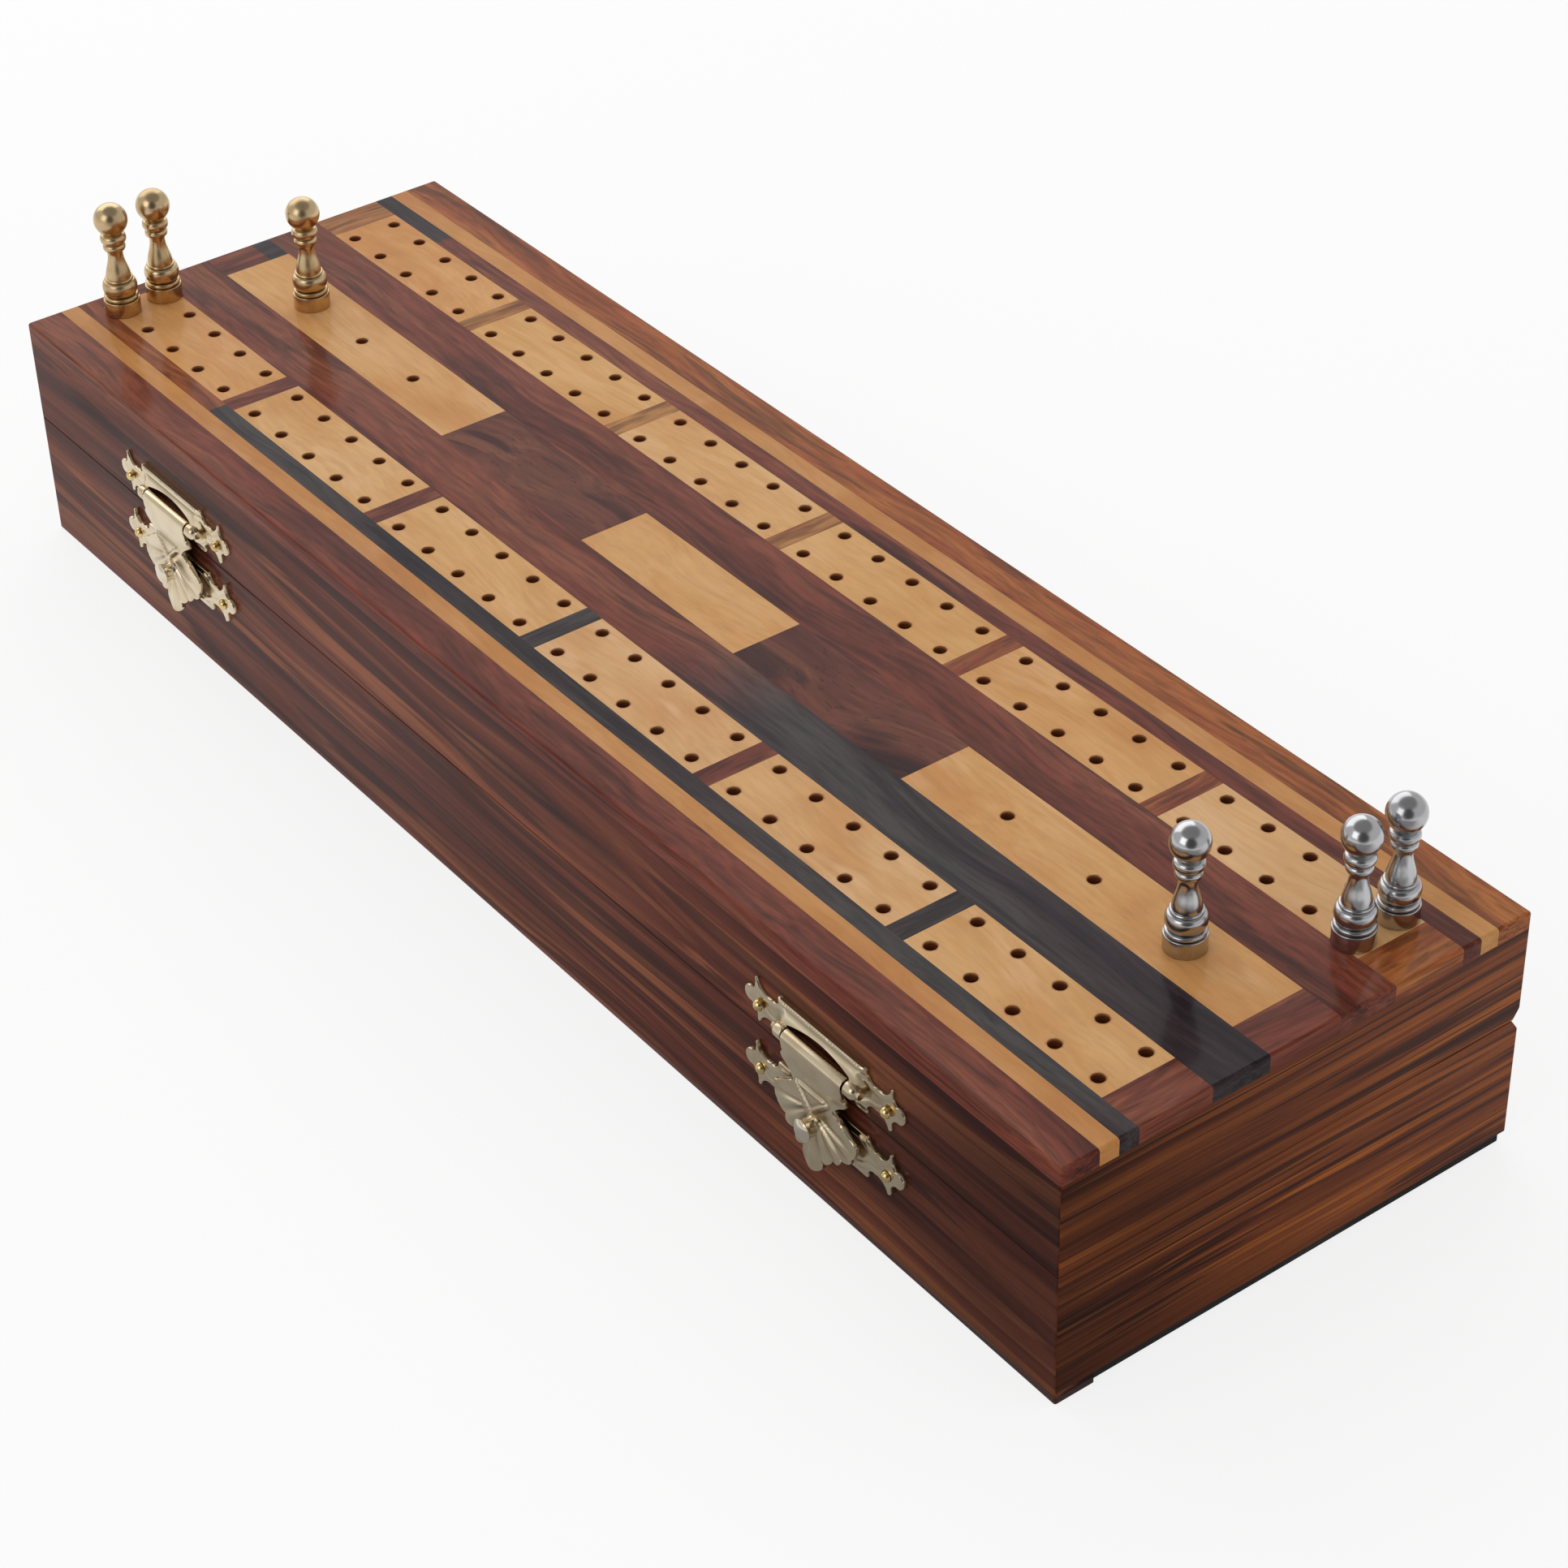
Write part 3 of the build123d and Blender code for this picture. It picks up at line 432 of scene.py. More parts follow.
def blockLimits(row, names):
    # Colours of a track's separators, from the left, each up to the middle of its next tile
    limits = [tileStarts[row] + tilePeriods[row] * (k + 1.5) for k in range(len(names) - 1)]
    return tuple(zip(names, limits + [None]))


blockColors = {
    "separators_front": blockLimits("front", ("purple", "purple", "black", "purple", "black")),
    "separators_back": blockLimits("back", ("olive", "olive", "olive", "brown", "brown")),
    "end_blocks_front": (("purple", None),),
    "end_blocks_back": (("olive", 0.0), ("orange", None)),
}
for number, (name, colors) in enumerate(blockColors.items()):
    blocks = stripMaterial("wood_" + name, blockLook, 90.0, 43.0 + 4 * number, colors)
    dress(blocks, "track_" + name)


def endBlockColor(tree):
    # The left block is pieced: behind this line it is black
    pieceLine = 3.2
    x, y, _ = axesInMm(tree)
    share = fade(tree, y, pieceLine - 0.1, pieceLine + 0.1)
    share = calc(tree, "MULTIPLY", share, fade(tree, x, -1.0, 1.0, 1.0, 0.0))
    return mixColors(tree, share, woodColors["purple"], woodColors["black"])


endBlocks = woodMaterial("wood_end_blocks", stripLook, 90.0, middle=endBlockColor, seed=19.0)
dress(endBlocks, "centre_end_blocks")
fillerLook = {**rosewood, "flameAmount": 0.6, "flameSize": (50.0, 1.6, 1.6), "wander": 9.0}
fillers = stripMaterial("wood_fillers", fillerLook, 0.0, 31.0, (("dark", None),))
dress(fillers, "centre_fillers")
for row, seed in (("front", 33.0), ("back", 37.0)):
    dress(woodMaterial("maple_strip_" + row, stripMaple, seed=seed), "light_strip_" + row)
dividerLook = {**rosewood, "roughness": 0.5}
dress(woodMaterial("divider_wood", dividerLook, 90.0, seed=61.0), "divider_left", "divider_right")
print("woods of the walls and strips are on")


def nearestSpot(tree, value, first, pitch, count):
    # Distance along one axis from the nearest of count spots that start at first
    number = calc(tree, "DIVIDE", calc(tree, "SUBTRACT", value, first), pitch)
    number = calc(tree, "ROUND", number)
    number = calc(tree, "MINIMUM", calc(tree, "MAXIMUM", number, 0.0), count - 1.0)
    spot = calc(tree, "MULTIPLY_ADD", number, pitch, first)
    return calc(tree, "SUBTRACT", value, spot)


# Stain that has crept into the wood round the holes, and painted shade inside each hole, darker with
# depth
holeStain = {"width": 0.35, "ragged": 0.1, "amount": 0.6, "color": (0.24, 0.085, 0.03)}
holeShade = {"start": 0.05, "full": 0.6, "color": (0.16, 0.045, 0.016)}
tileTones = ((0.0, (0.58, 0.27, 0.09)), (0.5, (0.61, 0.33, 0.12)), (1.0, (0.64, 0.37, 0.17)))


def drilledMaterial(name, look, seed, holeDistance, pieceNumber=None):
    # A pale wood with stained rims and painted shade inside the holes; with pieceNumber, tone and grain
    # change from piece to piece
    material = newMaterial(name)
    tree = material.node_tree
    place = placeInMm(tree)
    x, y, z = axesInMm(tree)
    grainPlace = place
    middle = None
    if pieceNumber:
        number = pieceNumber(tree, x)
        jump = addNode(tree, "CombineXYZ", {0: number, 1: number, 2: 0.0}).outputs[0]
        jump = vectorCalc(tree, "MULTIPLY", jump, (61.0, 17.0, 0.0))
        grainPlace = vectorCalc(tree, "ADD", place, jump)
        chance = addNode(
            tree, "TexWhiteNoise", {"W": calc(tree, "ADD", number, seed)}, noise_dimensions="1D"
        ).outputs["Value"]
        middle = ramp(tree, chance, tileTones)
    color, roughness, height = woodLook(tree, grainPlace, look, middle, seed)
    away = holeDistance(tree, x, y)
    ragged = noiseOf(tree, place, (0.7, 0.7, 0.7), seed=seed + 71.0)
    reach = holeStain["ragged"]
    away = calc(tree, "ADD", away, fade(tree, ragged, 0.3, 0.7, -reach, reach))
    radius = layout["holeRadius"]
    stain = fade(tree, away, radius, radius + holeStain["width"], holeStain["amount"], 0.0)
    color = mixColors(tree, stain, color, holeStain["color"])
    # Painted shade: inside each hole the wood is painted darker with depth
    full, start = boxTop - holeShade["full"], boxTop - holeShade["start"]
    depth = fade(tree, z, full, start, 1.0, 0.0)
    below = calc(tree, "MULTIPLY", depth, fade(tree, away, radius + 0.2, radius + 0.4, 1.0, 0.0))
    color = mixColors(tree, below, color, holeShade["color"])
    return finishSurface(material, color, roughness, height, woodBump, lacquer)


def trackDistance(row):
    pitch = (tileLengths[row] - 2 * layout["holeInset"]) / (layout["holeColumns"] - 1)

    def distance(tree, x, y):
        fromStart = calc(tree, "SUBTRACT", x, tileStarts[row])
        inTile = calc(tree, "FLOORED_MODULO", fromStart, tilePeriods[row])
        along = nearestSpot(tree, inTile, layout["holeInset"], pitch, layout["holeColumns"])
        fromMiddle = calc(tree, "SUBTRACT", calc(tree, "ABSOLUTE", y), layout["trackMiddle"])
        across = nearestSpot(tree, fromMiddle, -layout["holeRow"], 2 * layout["holeRow"], 2)
        return flatLength(tree, along, across)

    return distance


def trackNumber(row):
    def number(tree, x):
        fromStart = calc(tree, "SUBTRACT", x, tileStarts[row])
        return calc(tree, "FLOOR", calc(tree, "DIVIDE", fromStart, tilePeriods[row]))

    return number


def panelDistance(middle, pitch):
    def distance(tree, x, y):
        along = nearestSpot(tree, x, middle - pitch, pitch, 3)
        return flatLength(tree, along, y)

    return distance


for row, seed in (("front", 71.0), ("back", 79.0)):
    holes = trackDistance(row)
    tiles = drilledMaterial("maple_tiles_" + row, maple, seed, holes, trackNumber(row))
    dress(tiles, "track_tiles_" + row)
for side, sign, seed in (("left", -1, 83.0), ("right", 1, 89.0)):
    holes = panelDistance(sign * layout["panelMiddle"], layout[side + "Pitch"])
    dress(drilledMaterial("maple_panel_" + side, maple, seed, holes), "centre_panel_" + side)
dress(woodMaterial("maple_panel_middle", maple, seed=97.0), "centre_panel_middle")
print("tiles and panels are on")

coreLook = {**maple, "middle": (0.5, 0.34, 0.2), "roughness": 0.6}
dress(woodMaterial("core_board", coreLook, seed=101.0, coat=dull), "lid_core_board")
bottomLook = {**ebony, "middle": (0.014, 0.011, 0.01), "roughness": 0.6}
dress(woodMaterial("dark_bottom", bottomLook, seed=103.0, coat=dull), "bottom_board")


felt = {
    "base": (0.03, 0.12, 0.06),
    "pale": (0.06, 0.19, 0.1),
    "bump": {"strength": 0.8, "distance": 0.3},
    "surface": {"Sheen Weight": 0.3, "Specular IOR Level": 0.2},
}


def feltMaterial():
    material = newMaterial("felt")
    tree = material.node_tree
    place = placeInMm(tree)
    fuzz = noiseOf(tree, place, (0.35, 0.35, 0.35), detail=4.0)
    clumps = noiseOf(tree, place, (3.0, 3.0, 3.0), seed=4.0)
    mixed = calc(tree, "MULTIPLY_ADD", fuzz, 0.6, calc(tree, "MULTIPLY", clumps, 0.4))
    color = ramp(tree, mixed, ((0.35, felt["base"]), (0.65, felt["pale"])))
    roughness = fade(tree, clumps, 0.3, 0.7, 0.85, 1.0)
    return finishSurface(material, color, roughness, fuzz, felt["bump"], felt["surface"])


dress(feltMaterial(), "well_felts", "lid_felt")


metals = {
    "hinge_brass": {"pale": (0.74, 0.53, 0.24), "worn": (0.55, 0.38, 0.16), "roughness": 0.32},
    "catch_brass": {"pale": (0.72, 0.6, 0.42), "worn": (0.56, 0.43, 0.26), "roughness": 0.2},
    "nail_brass": {"pale": (0.78, 0.58, 0.26), "worn": (0.5, 0.33, 0.12), "roughness": 0.16},
    "knob_metal": {"pale": (0.76, 0.68, 0.55), "worn": (0.6, 0.46, 0.28), "roughness": 0.14},
    "peg_brass": {"pale": (0.62, 0.465, 0.27), "worn": (0.5, 0.34, 0.17), "roughness": 0.27},
    "peg_steel": {"pale": (0.52, 0.52, 0.53), "worn": (0.4, 0.4, 0.41), "roughness": 0.2},
}
metalBump = {"strength": 0.2, "distance": 0.008}


def metalMaterial(name, look, rings=False):
    material = newMaterial(name)
    tree = material.node_tree
    place = placeInMm(tree)
    patches = noiseOf(tree, place, (5.0, 5.0, 5.0), detail=3.0, roughness=0.5, seed=1.0)
    fine = noiseOf(tree, place, (0.12, 0.12, 0.12), seed=9.0)
    scratches = noiseOf(tree, place, (0.05, 0.9, 0.9), detail=1.0, seed=13.0)
    height = calc(tree, "MULTIPLY_ADD", fine, 0.5, calc(tree, "MULTIPLY", scratches, 0.5))
    if rings:  # marks of the lathe round the stem
        lines = noiseOf(tree, place, (9.0, 9.0, 0.11), seed=17.0)
        height = calc(tree, "MULTIPLY_ADD", lines, 1.2, calc(tree, "MULTIPLY", fine, 0.3))
    share = fade(tree, patches, 0.4, 0.75, 0.0, 0.7)
    color = mixColors(tree, share, look["pale"], look["worn"])
    dip = addNode(tree, "Attribute", attribute_name="dip").outputs["Fac"]
    hollow = calc(tree, "MULTIPLY", dip, 0.75)  # tarnish in the hollows of a stamped piece
    color = mixColors(tree, hollow, color, tuple(part * 0.3 for part in look["worn"]))
    spread = look["roughness"]
    roughness = fade(tree, patches, 0.3, 0.7, spread * 0.85, spread * 1.25)
    return finishSurface(material, color, roughness, height, metalBump, {"Metallic": 1.0})


metalMaterials = {
    name: metalMaterial(name, look, name.startswith("peg")) for name, look in metals.items()
}
for entry in frame["record"]["subparts"]:
    if entry["material_slot"] in metalMaterials:
        dress(metalMaterials[entry["material_slot"]], entry["node"])
print("felt and metals are on")


def arcPoints(center, radius, start, end, steps):
    # Points of an arc in (radius, height), angles in degrees from straight out
    points = []
    for step in range(steps + 1):
        angle = math.radians(start + (end - start) * step / steps)
        out = center[0] + radius * math.cos(angle)
        points.append((out, center[1] + radius * math.sin(angle)))
    return points


def tubeFaces(rings, segments):
    # Faces of a tube of rings, closed at both ends
    faces = []
    for row in range(rings - 1):
        for number in range(segments):
            first = row * segments + number
            second = row * segments + (number + 1) % segments
            faces.append((first, second, second + segments, first + segments))
    faces.append(tuple(reversed(range(segments))))
    faces.append(tuple(range((rings - 1) * segments, rings * segments)))
    return faces


def linkedObject(name, data):
    obj = bpy.data.objects.new(name, data)
    bpy.context.scene.collection.objects.link(obj)
    return obj


def standIn(piece, node, body, slotName):
    # The piece is seen in place of the node and moves with the body
    piece.data.materials.append(metalMaterials[slotName])
    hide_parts(node)
    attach(piece, body)


def spinMesh(name, profile, place, axis="up", segments=96, crease=32.0):
    # Turns a profile of (radius, height) in millimetres; axis is up, or out of the front
    vertices = []
    for radius, height in profile:
        for number in range(segments):
            angle = 2 * math.pi * number / segments
            x = radius * math.cos(angle)
            y = radius * math.sin(angle)
            spot = Vector((x, y, height)) if axis == "up" else Vector((x, -height, y))
            vertices.append((Vector(place) + spot) * mm)
    mesh = bpy.data.meshes.new(name)
    mesh.from_pydata(vertices, [], tubeFaces(len(profile), segments))
    mesh.validate()
    mesh.shade_smooth()
    mesh.set_sharp_from_angle(angle=math.radians(crease))
    return linkedObject(name, mesh)


# From the shank up: foot, ring, bead, lip, vase down to a waist, collar, upper ring and ball
peg = {
    "seatGap": 0.05,
    "shankRadius": 1.15,
    "shankLength": 7.0,
    "footRadius": 3.75,
    "footHeight": 3.2,
    "grooveRadius": 3.1,
    "ringHeight": 1.1,
    "ringRadius": 3.6,
    "beadRadius": 3.6,
    "beadNeck": 2.6,
    "beadHeight": 3.2,
    "lipRadius": 2.95,
    "lipHeight": 0.6,
    "waistRadius": 1.6,
    "vaseHeight": 6.85,
    "collarRadius": 2.35,
    "collarHeight": 1.7,
    "upperRadius": 2.7,
    "upperHeight": 2.1,
    "neckRadius": 1.75,
    "ballRadius": 3.5,
}


def roundedRing(low, height, outer, inner, steps=10):
    # A ring with a half-round rim: its radius goes from inner to outer and back
    points = []
    for step in range(steps + 1):
        angle = math.pi * (step / steps - 0.5)
        reach = max(0.0, math.cos(angle)) ** 0.8
        points.append((inner + (outer - inner) * reach, low + height / 2 * (1 + math.sin(angle))))
    return points


def pegProfile(size):
    # From the tip of the shank to the top of the ball; zero is the seat on the board
    soft = 0.15
    points = [(0.3, -size["shankLength"]), (size["shankRadius"], -size["shankLength"] + 0.6)]
    points.append((size["shankRadius"], 0.0))
    foot = size["footRadius"]
    top = size["footHeight"]
    points += arcPoints((foot - soft, soft), soft, -90, 0, 4)
    points += arcPoints((foot - soft, top - soft), soft, 0, 90, 4)
    points.append((size["grooveRadius"], top))
    points += roundedRing(top + 0.1, size["ringHeight"] - 0.2, size["ringRadius"], size["grooveRadius"])
    bead = top + size["ringHeight"]
    points += roundedRing(bead, size["beadHeight"], size["beadRadius"], size["beadNeck"], 14)
    vase = bead + size["beadHeight"]
    lip = size["lipHeight"]
    points += roundedRing(vase, lip, size["lipRadius"], size["beadNeck"], 6)
    rise = size["vaseHeight"] - lip
    for step in range(1, 17):
        share = step / 16
        swell = (0.5 + 0.5 * math.cos(math.pi * min(1.0, share / 0.88))) ** 1.15
        flare = 0.2 * max(0.0, share - 0.88) / 0.12
        radius = size["waistRadius"] + (size["beadNeck"] - size["waistRadius"]) * swell + flare
        points.append((radius, vase + lip + rise * share))
    collar = vase + size["vaseHeight"]
    upper = collar + size["collarHeight"]
    neck = size["neckRadius"]
    points += roundedRing(collar, size["collarHeight"] - 0.15, size["collarRadius"], neck)
    points += roundedRing(upper, size["upperHeight"] - 0.1, size["upperRadius"], neck + 0.15)
    seat = upper + size["upperHeight"]
    ball = size["ballRadius"]
    rise = math.sqrt(ball**2 - neck**2)
    start = -math.degrees(math.acos(neck / ball))
    points += arcPoints((0.0, seat + rise), ball, start, 89.0, 28)
    return points


pegPieces = [name for name in nodes if name.startswith("peg_")]
for name in pegPieces:
    low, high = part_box(name)
    middle = (low + high) / 2 / mm
    place = (middle.x, middle.y, boxTop + peg["seatGap"])
    piece = spinMesh("look_" + name, pegProfile(peg), place)
    standIn(piece, name, name, "peg_brass" if "brass" in name else "peg_steel")
print("pegs are turned:", len(pegPieces))


# Heights and drops of the leaf are from its pin, those of a plate from its own middle
catch = {
    "spread": 213.0,
    "pinHeight": 33.3,
    "keeperHeight": 19.6,
    "pinOut": 1.8,
    "rollRadius": 1.5,
    "rollHalf": 8.0,
    "sheet": 0.9,
    "bodyHalf": 11.6,
    "plateRise": 5.4,
    "plateDrop": 4.3,
    "keeperHalf": 11.9,
    "keeperRise": 4.8,
    "keeperDrop": 4.1,
    "slotHalf": 8.3,
    "slotShoulder": 1.8,
    "slotRise": 3.0,
    "shoulderHalf": 8.3,
    "neckHalf": 5.3,
    "fanHalf": 11.0,
    "tongueHalf": 2.6,
    "length": 22.9,
    "tongueLength": 3.7,
    "crookDrop": 5.2,
    "crookOut": 2.5,
    "tipOut": 3.0,
    "knobDrop": 13.4,
    "step": 0.22,
    "grid": 0.3,
    "edgeWidth": 0.12,
    "edgeDrop": 0.16,
}


def arcThrough(first, middle, last, step):
    # Points after first, up to last, of the arc through all three
    (ax, ay), (bx, by), (cx, cy) = first, middle, last
    size = 2 * (ax * (by - cy) + bx * (cy - ay) + cx * (ay - by))
    squares = [x * x + y * y for x, y in (first, middle, last)]
    x = (squares[0] * (by - cy) + squares[1] * (cy - ay) + squares[2] * (ay - by)) / size
    y = (squares[0] * (cx - bx) + squares[1] * (ax - cx) + squares[2] * (bx - ax)) / size
    radius = math.hypot(ax - x, ay - y)
    angles = [math.atan2(py - y, px - x) for px, py in (first, middle, last)]
    sweep = (angles[2] - angles[0]) % (2 * math.pi)
    if (angles[1] - angles[0]) % (2 * math.pi) > sweep:
        sweep -= 2 * math.pi
    count = max(3, math.ceil(abs(sweep) * radius / step))
    turns = [angles[0] + sweep * (number + 1) / count for number in range(count)]
    return [(x + radius * math.cos(turn), y + radius * math.sin(turn)) for turn in turns]


def tracePath(start, stretches, step):
    # A stretch is (end,) for a line or (middle, end) for an arc
    points = [start]
    for stretch in stretches:
        if len(stretch) == 2:
            points += arcThrough(points[-1], stretch[0], stretch[1], step)
            continue
        length = math.dist(points[-1], stretch[0])
        count = max(1, math.ceil(length / (3 * step)))
        x, y = points[-1]
        for number in range(1, count + 1):
            share = number / count
            points.append((x + (stretch[0][0] - x) * share, y + (stretch[0][1] - y) * share))
    return points


def mirrored(path):
    # The right half, from the axis at the top to the axis at the foot, made into a closed loop
    left = [(-x, y) for x, y in reversed(path) if abs(x) > 1e-6]
    return list(reversed(path + left))


def wingPath(bodyHalf, rise, drop):
    # From the body's top corner round the three-lobed wing to the body's lower corner
    return [
        ((bodyHalf - 0.25, rise),),
        ((bodyHalf + 0.05, rise - 0.1), (bodyHalf + 0.1, rise - 0.5)),
        ((bodyHalf + 0.7, 3.3), (bodyHalf + 2.4, 2.95)),
        ((bodyHalf + 4.9, 3.3), (17.85, 5.0)),
        ((18.15, 5.2), (18.35, 4.9)),
        ((18.4, 3.3), (19.1, 2.3)),
        ((20.9, 1.9), (21.3, 0.8)),
        ((20.9, -0.4), (19.5, -0.8)),
        ((18.4, -1.5), (17.9, -3.4)),
        ((17.5, -3.9), (17.0, -3.5)),
        ((15.6, -2.05), (13.9, -1.9)),
        ((bodyHalf + 0.6, -2.3), (bodyHalf + 0.15, 0.4 - drop)),
        ((bodyHalf, 0.1 - drop), (bodyHalf - 0.3, -drop)),
    ]


def plateLoop():
    # Lid plate with a slot for the leaf's roll, arched at its top and open at its foot
    size = catch
    stretches = wingPath(size["bodyHalf"], size["plateRise"], size["plateDrop"])
    half = size["slotHalf"]
    foot = size["slotShoulder"]
    stretches += [((half, -size["plateDrop"]),), ((half, foot),)]
    path = tracePath((0.0, size["plateRise"]), stretches, size["step"])
    rise = size["slotRise"]
    arch = arcThrough((half, foot), (0.0, rise), (-half, foot), size["step"])
    path += [(x, y) for x, y in arch if x > 1e-6] + [(0.0, rise)]
    return mirrored(path)


def keeperLoop():
    size = catch
    stretches = wingPath(size["keeperHalf"], size["keeperRise"], size["keeperDrop"])
    stretches.append(((0.0, -size["keeperDrop"]),))
    return mirrored(tracePath((0.0, size["keeperRise"]), stretches, size["step"]))


def leafLoop():
    # Roll, waist, scalloped fan and tongue, drawn about the pin
    size = catch
    fanDrop = 11.0
    corner = (size["fanHalf"] - 1.0, -fanDrop - 3.4)
    root = (size["tongueHalf"], size["tongueLength"] - size["length"])
    stretches = [
        ((size["rollHalf"], 1.1),),
        ((size["rollHalf"], -2.5),),
        ((size["rollHalf"] + 0.4, -2.9), (size["shoulderHalf"], -size["crookDrop"] + 0.6)),
        ((size["neckHalf"] + 1.0, -size["crookDrop"] - 0.8), (size["neckHalf"], -7.0)),
        ((size["neckHalf"] + 0.3, -7.4), (size["neckHalf"] + 0.9, -7.7)),
        ((size["fanHalf"] - 0.5, -fanDrop + 0.3),),
        ((size["fanHalf"], -fanDrop), (size["fanHalf"], -fanDrop - 0.6)),
        ((size["fanHalf"] - 0.1, -fanDrop - 2.0), corner),
    ]
    lobes = 3
    for number in range(lobes):
        ends = [
            [corner[axis] + (root[axis] - corner[axis]) * (number + part) / lobes for axis in (0, 1)]
            for part in (0.5, 1.0)
        ]
        slope = math.atan2(root[1] - corner[1], root[0] - corner[0])
        bulge = 0.85
        middle = (ends[0][0] - math.sin(slope) * bulge, ends[0][1] + math.cos(slope) * bulge)
        stretches.append((middle, tuple(ends[1])))
    foot = size["tongueHalf"] - size["length"]
    stretches.append(((size["tongueHalf"] + 0.15, foot - 0.1),))
    curve = size["tongueHalf"] * math.sqrt(0.5)
    stretches.append(((curve + 0.05, foot - curve), (0.0, -size["length"])))
    return mirrored(tracePath((0.0, 1.1), stretches, size["step"]))


def edgeDistance(points, loop):
    # Distance of each point from the loop, and whether the point is inside it
    first = np.array(loop)
    second = np.roll(first, -1, axis=0)
    along = second - first
    best = np.full(len(points), 1e9)
    inside = np.zeros(len(points), bool)
    for start, end, step in zip(first, second, along):
        share = np.clip(((points - start) @ step) / (step @ step), 0, 1)
        away = np.linalg.norm(points - start - share[:, None] * step, axis=1)
        best = np.minimum(best, away)
        crosses = (start[1] > points[:, 1]) != (end[1] > points[:, 1])
        if abs(step[1]) > 1e-12:
            side = start[0] + (points[:, 1] - start[1]) * step[0] / step[1]
            inside ^= crosses & (points[:, 0] < side)
    return best, inside


def hollowness(spots, frontOf):
    # How far each spot lies below what is round it, 0 to 1
    reach = 0.45
    x, y = spots[:, 0], spots[:, 1]
    steps = [(reach, 0), (-reach, 0), (0, reach), (0, -reach)]
    around = sum(frontOf(x + a, y + b) for a, b in steps) / len(steps)
    return np.clip((around - frontOf(x, y)) / 0.14, 0, 1)


def meshSheet(loop, frontOf, backOf, overRoll=False):
    # Triangles inside the loop, lifted to frontOf and backOf; returns vertices, faces, dips
    grid = catch["grid"]
    edgeWidth, edgeDrop = catch["edgeWidth"], catch["edgeDrop"]
    low = np.min(loop, axis=0)
    high = np.max(loop, axis=0)
    rows = []
    for number, y in enumerate(np.arange(low[1], high[1], grid * 0.87)):
        shift = grid / 2 if number % 2 else 0.0
        rows += [(x, y) for x in np.arange(low[0] + shift, high[0], grid)]
    points = np.array(rows)
    away, inside = edgeDistance(points, loop)
    points = points[inside & (away > 0.3)]
    edge = np.array(loop)
    along = np.roll(edge, -1, axis=0) - np.roll(edge, 1, axis=0)
    along /= np.linalg.norm(along, axis=1)[:, None]
    ring = edge + np.stack([-along[:, 1], along[:, 0]], 1) * edgeWidth
    away, inside = edgeDistance(ring, loop)
    ring = ring[inside & (away > 0.1)]
    flat = [Vector(spot) for spot in np.concatenate([edge, ring, points])]
    count = len(edge)
    lines = [(number, (number + 1) % count) for number in range(count)]
    result = delaunay_2d_cdt(flat, lines, [list(range(count))], 1, 1e-5)
    spots = np.array([tuple(spot) for spot in result[0]])
    away, _ = edgeDistance(spots, loop)
    faces = [tuple(face) for face in result[2]]
    front = frontOf(spots[:, 0], spots[:, 1])
    rolled = edgeDrop * np.clip(1 - away / edgeWidth, 0, 1)
    rolled *= 1 - overRoll * rise(spots[:, 1], -1.5, -0.5)
    vertices = [(x, -y, z) for (x, z), y in zip(spots, front - rolled)]
    back = backOf(spots[:, 0], spots[:, 1])
    vertices += [(x, -y, z) for (x, z), y in zip(spots, back)]
    total = len(spots)
    edges = dict.fromkeys((face[k], face[(k + 1) % 3]) for face in faces for k in range(3))
    rims = [
        (second, first, first + total, second + total)
        for first, second in edges
        if (second, first) not in edges
    ]
    faces += [tuple(index + total for index in reversed(face)) for face in faces]
    dips = list(hollowness(spots, frontOf)) + [0.3] * total
    return vertices, faces + rims, dips


def barPieces(radius, start, end, out, steps=32, softStart=0.15, softEnd=0.15):
    # A bar along X, its middle line the given distance out, its ends rounded off
    profile = arcPoints((radius - softStart, start + softStart), softStart, -90, 0, 6)
    profile += arcPoints((radius - softEnd, end - softEnd), softEnd, 0, 90, 6)
    vertices = []
    for ring, x in profile:
        for number in range(steps):
            angle = 2 * math.pi * number / steps
            vertices.append((x, -out - ring * math.cos(angle), ring * math.sin(angle)))
    return vertices, tubeFaces(len(profile), steps), [0.0] * len(vertices)


def rise(value, start, end):
    share = np.clip((value - start) / (end - start), 0, 1)
    return share * share * (3 - 2 * share)


def crest(value, middle, half):
    # A smooth bump, 1 at its middle
    return 1 - rise(np.abs(value - middle), 0.0, half)


def veinOf(x, y, line, half):
    # A bump along a bent line through the given points
    best = np.full(x.shape, 1e9)
    for (ax, ay), (bx, by) in zip(line, line[1:]):
        length = (bx - ax) ** 2 + (by - ay) ** 2
        share = np.clip(((x - ax) * (bx - ax) + (y - ay) * (by - ay)) / length, 0, 1)
        best = np.minimum(best, np.hypot(x - ax - share * (bx - ax), y - ay - share * (by - ay)))
    return 1 - rise(best, 0.0, half)


def wingRelief(x, y, bodyHalf):
    # Low relief of a wing: a vein from the body to the nail, and a slight dome at each lobe
    across = np.abs(x)
    vein = [(bodyHalf - 2.5, -2.4), (bodyHalf + 0.6, -1.0), (bodyHalf + 2.6, -0.75), (15.6, -0.2)]
    upper = [(bodyHalf - 1.5, 3.6), (bodyHalf + 1.2, 2.1), (bodyHalf + 3.6, 1.9), (17.9, 3.6)]
    relief = 0.2 * veinOf(across, y, vein, 0.75) + 0.14 * veinOf(across, y, upper, 0.8)
    return relief + 0.15 * crest(np.hypot(across - 19.6, y - 0.9), 0, 1.6)


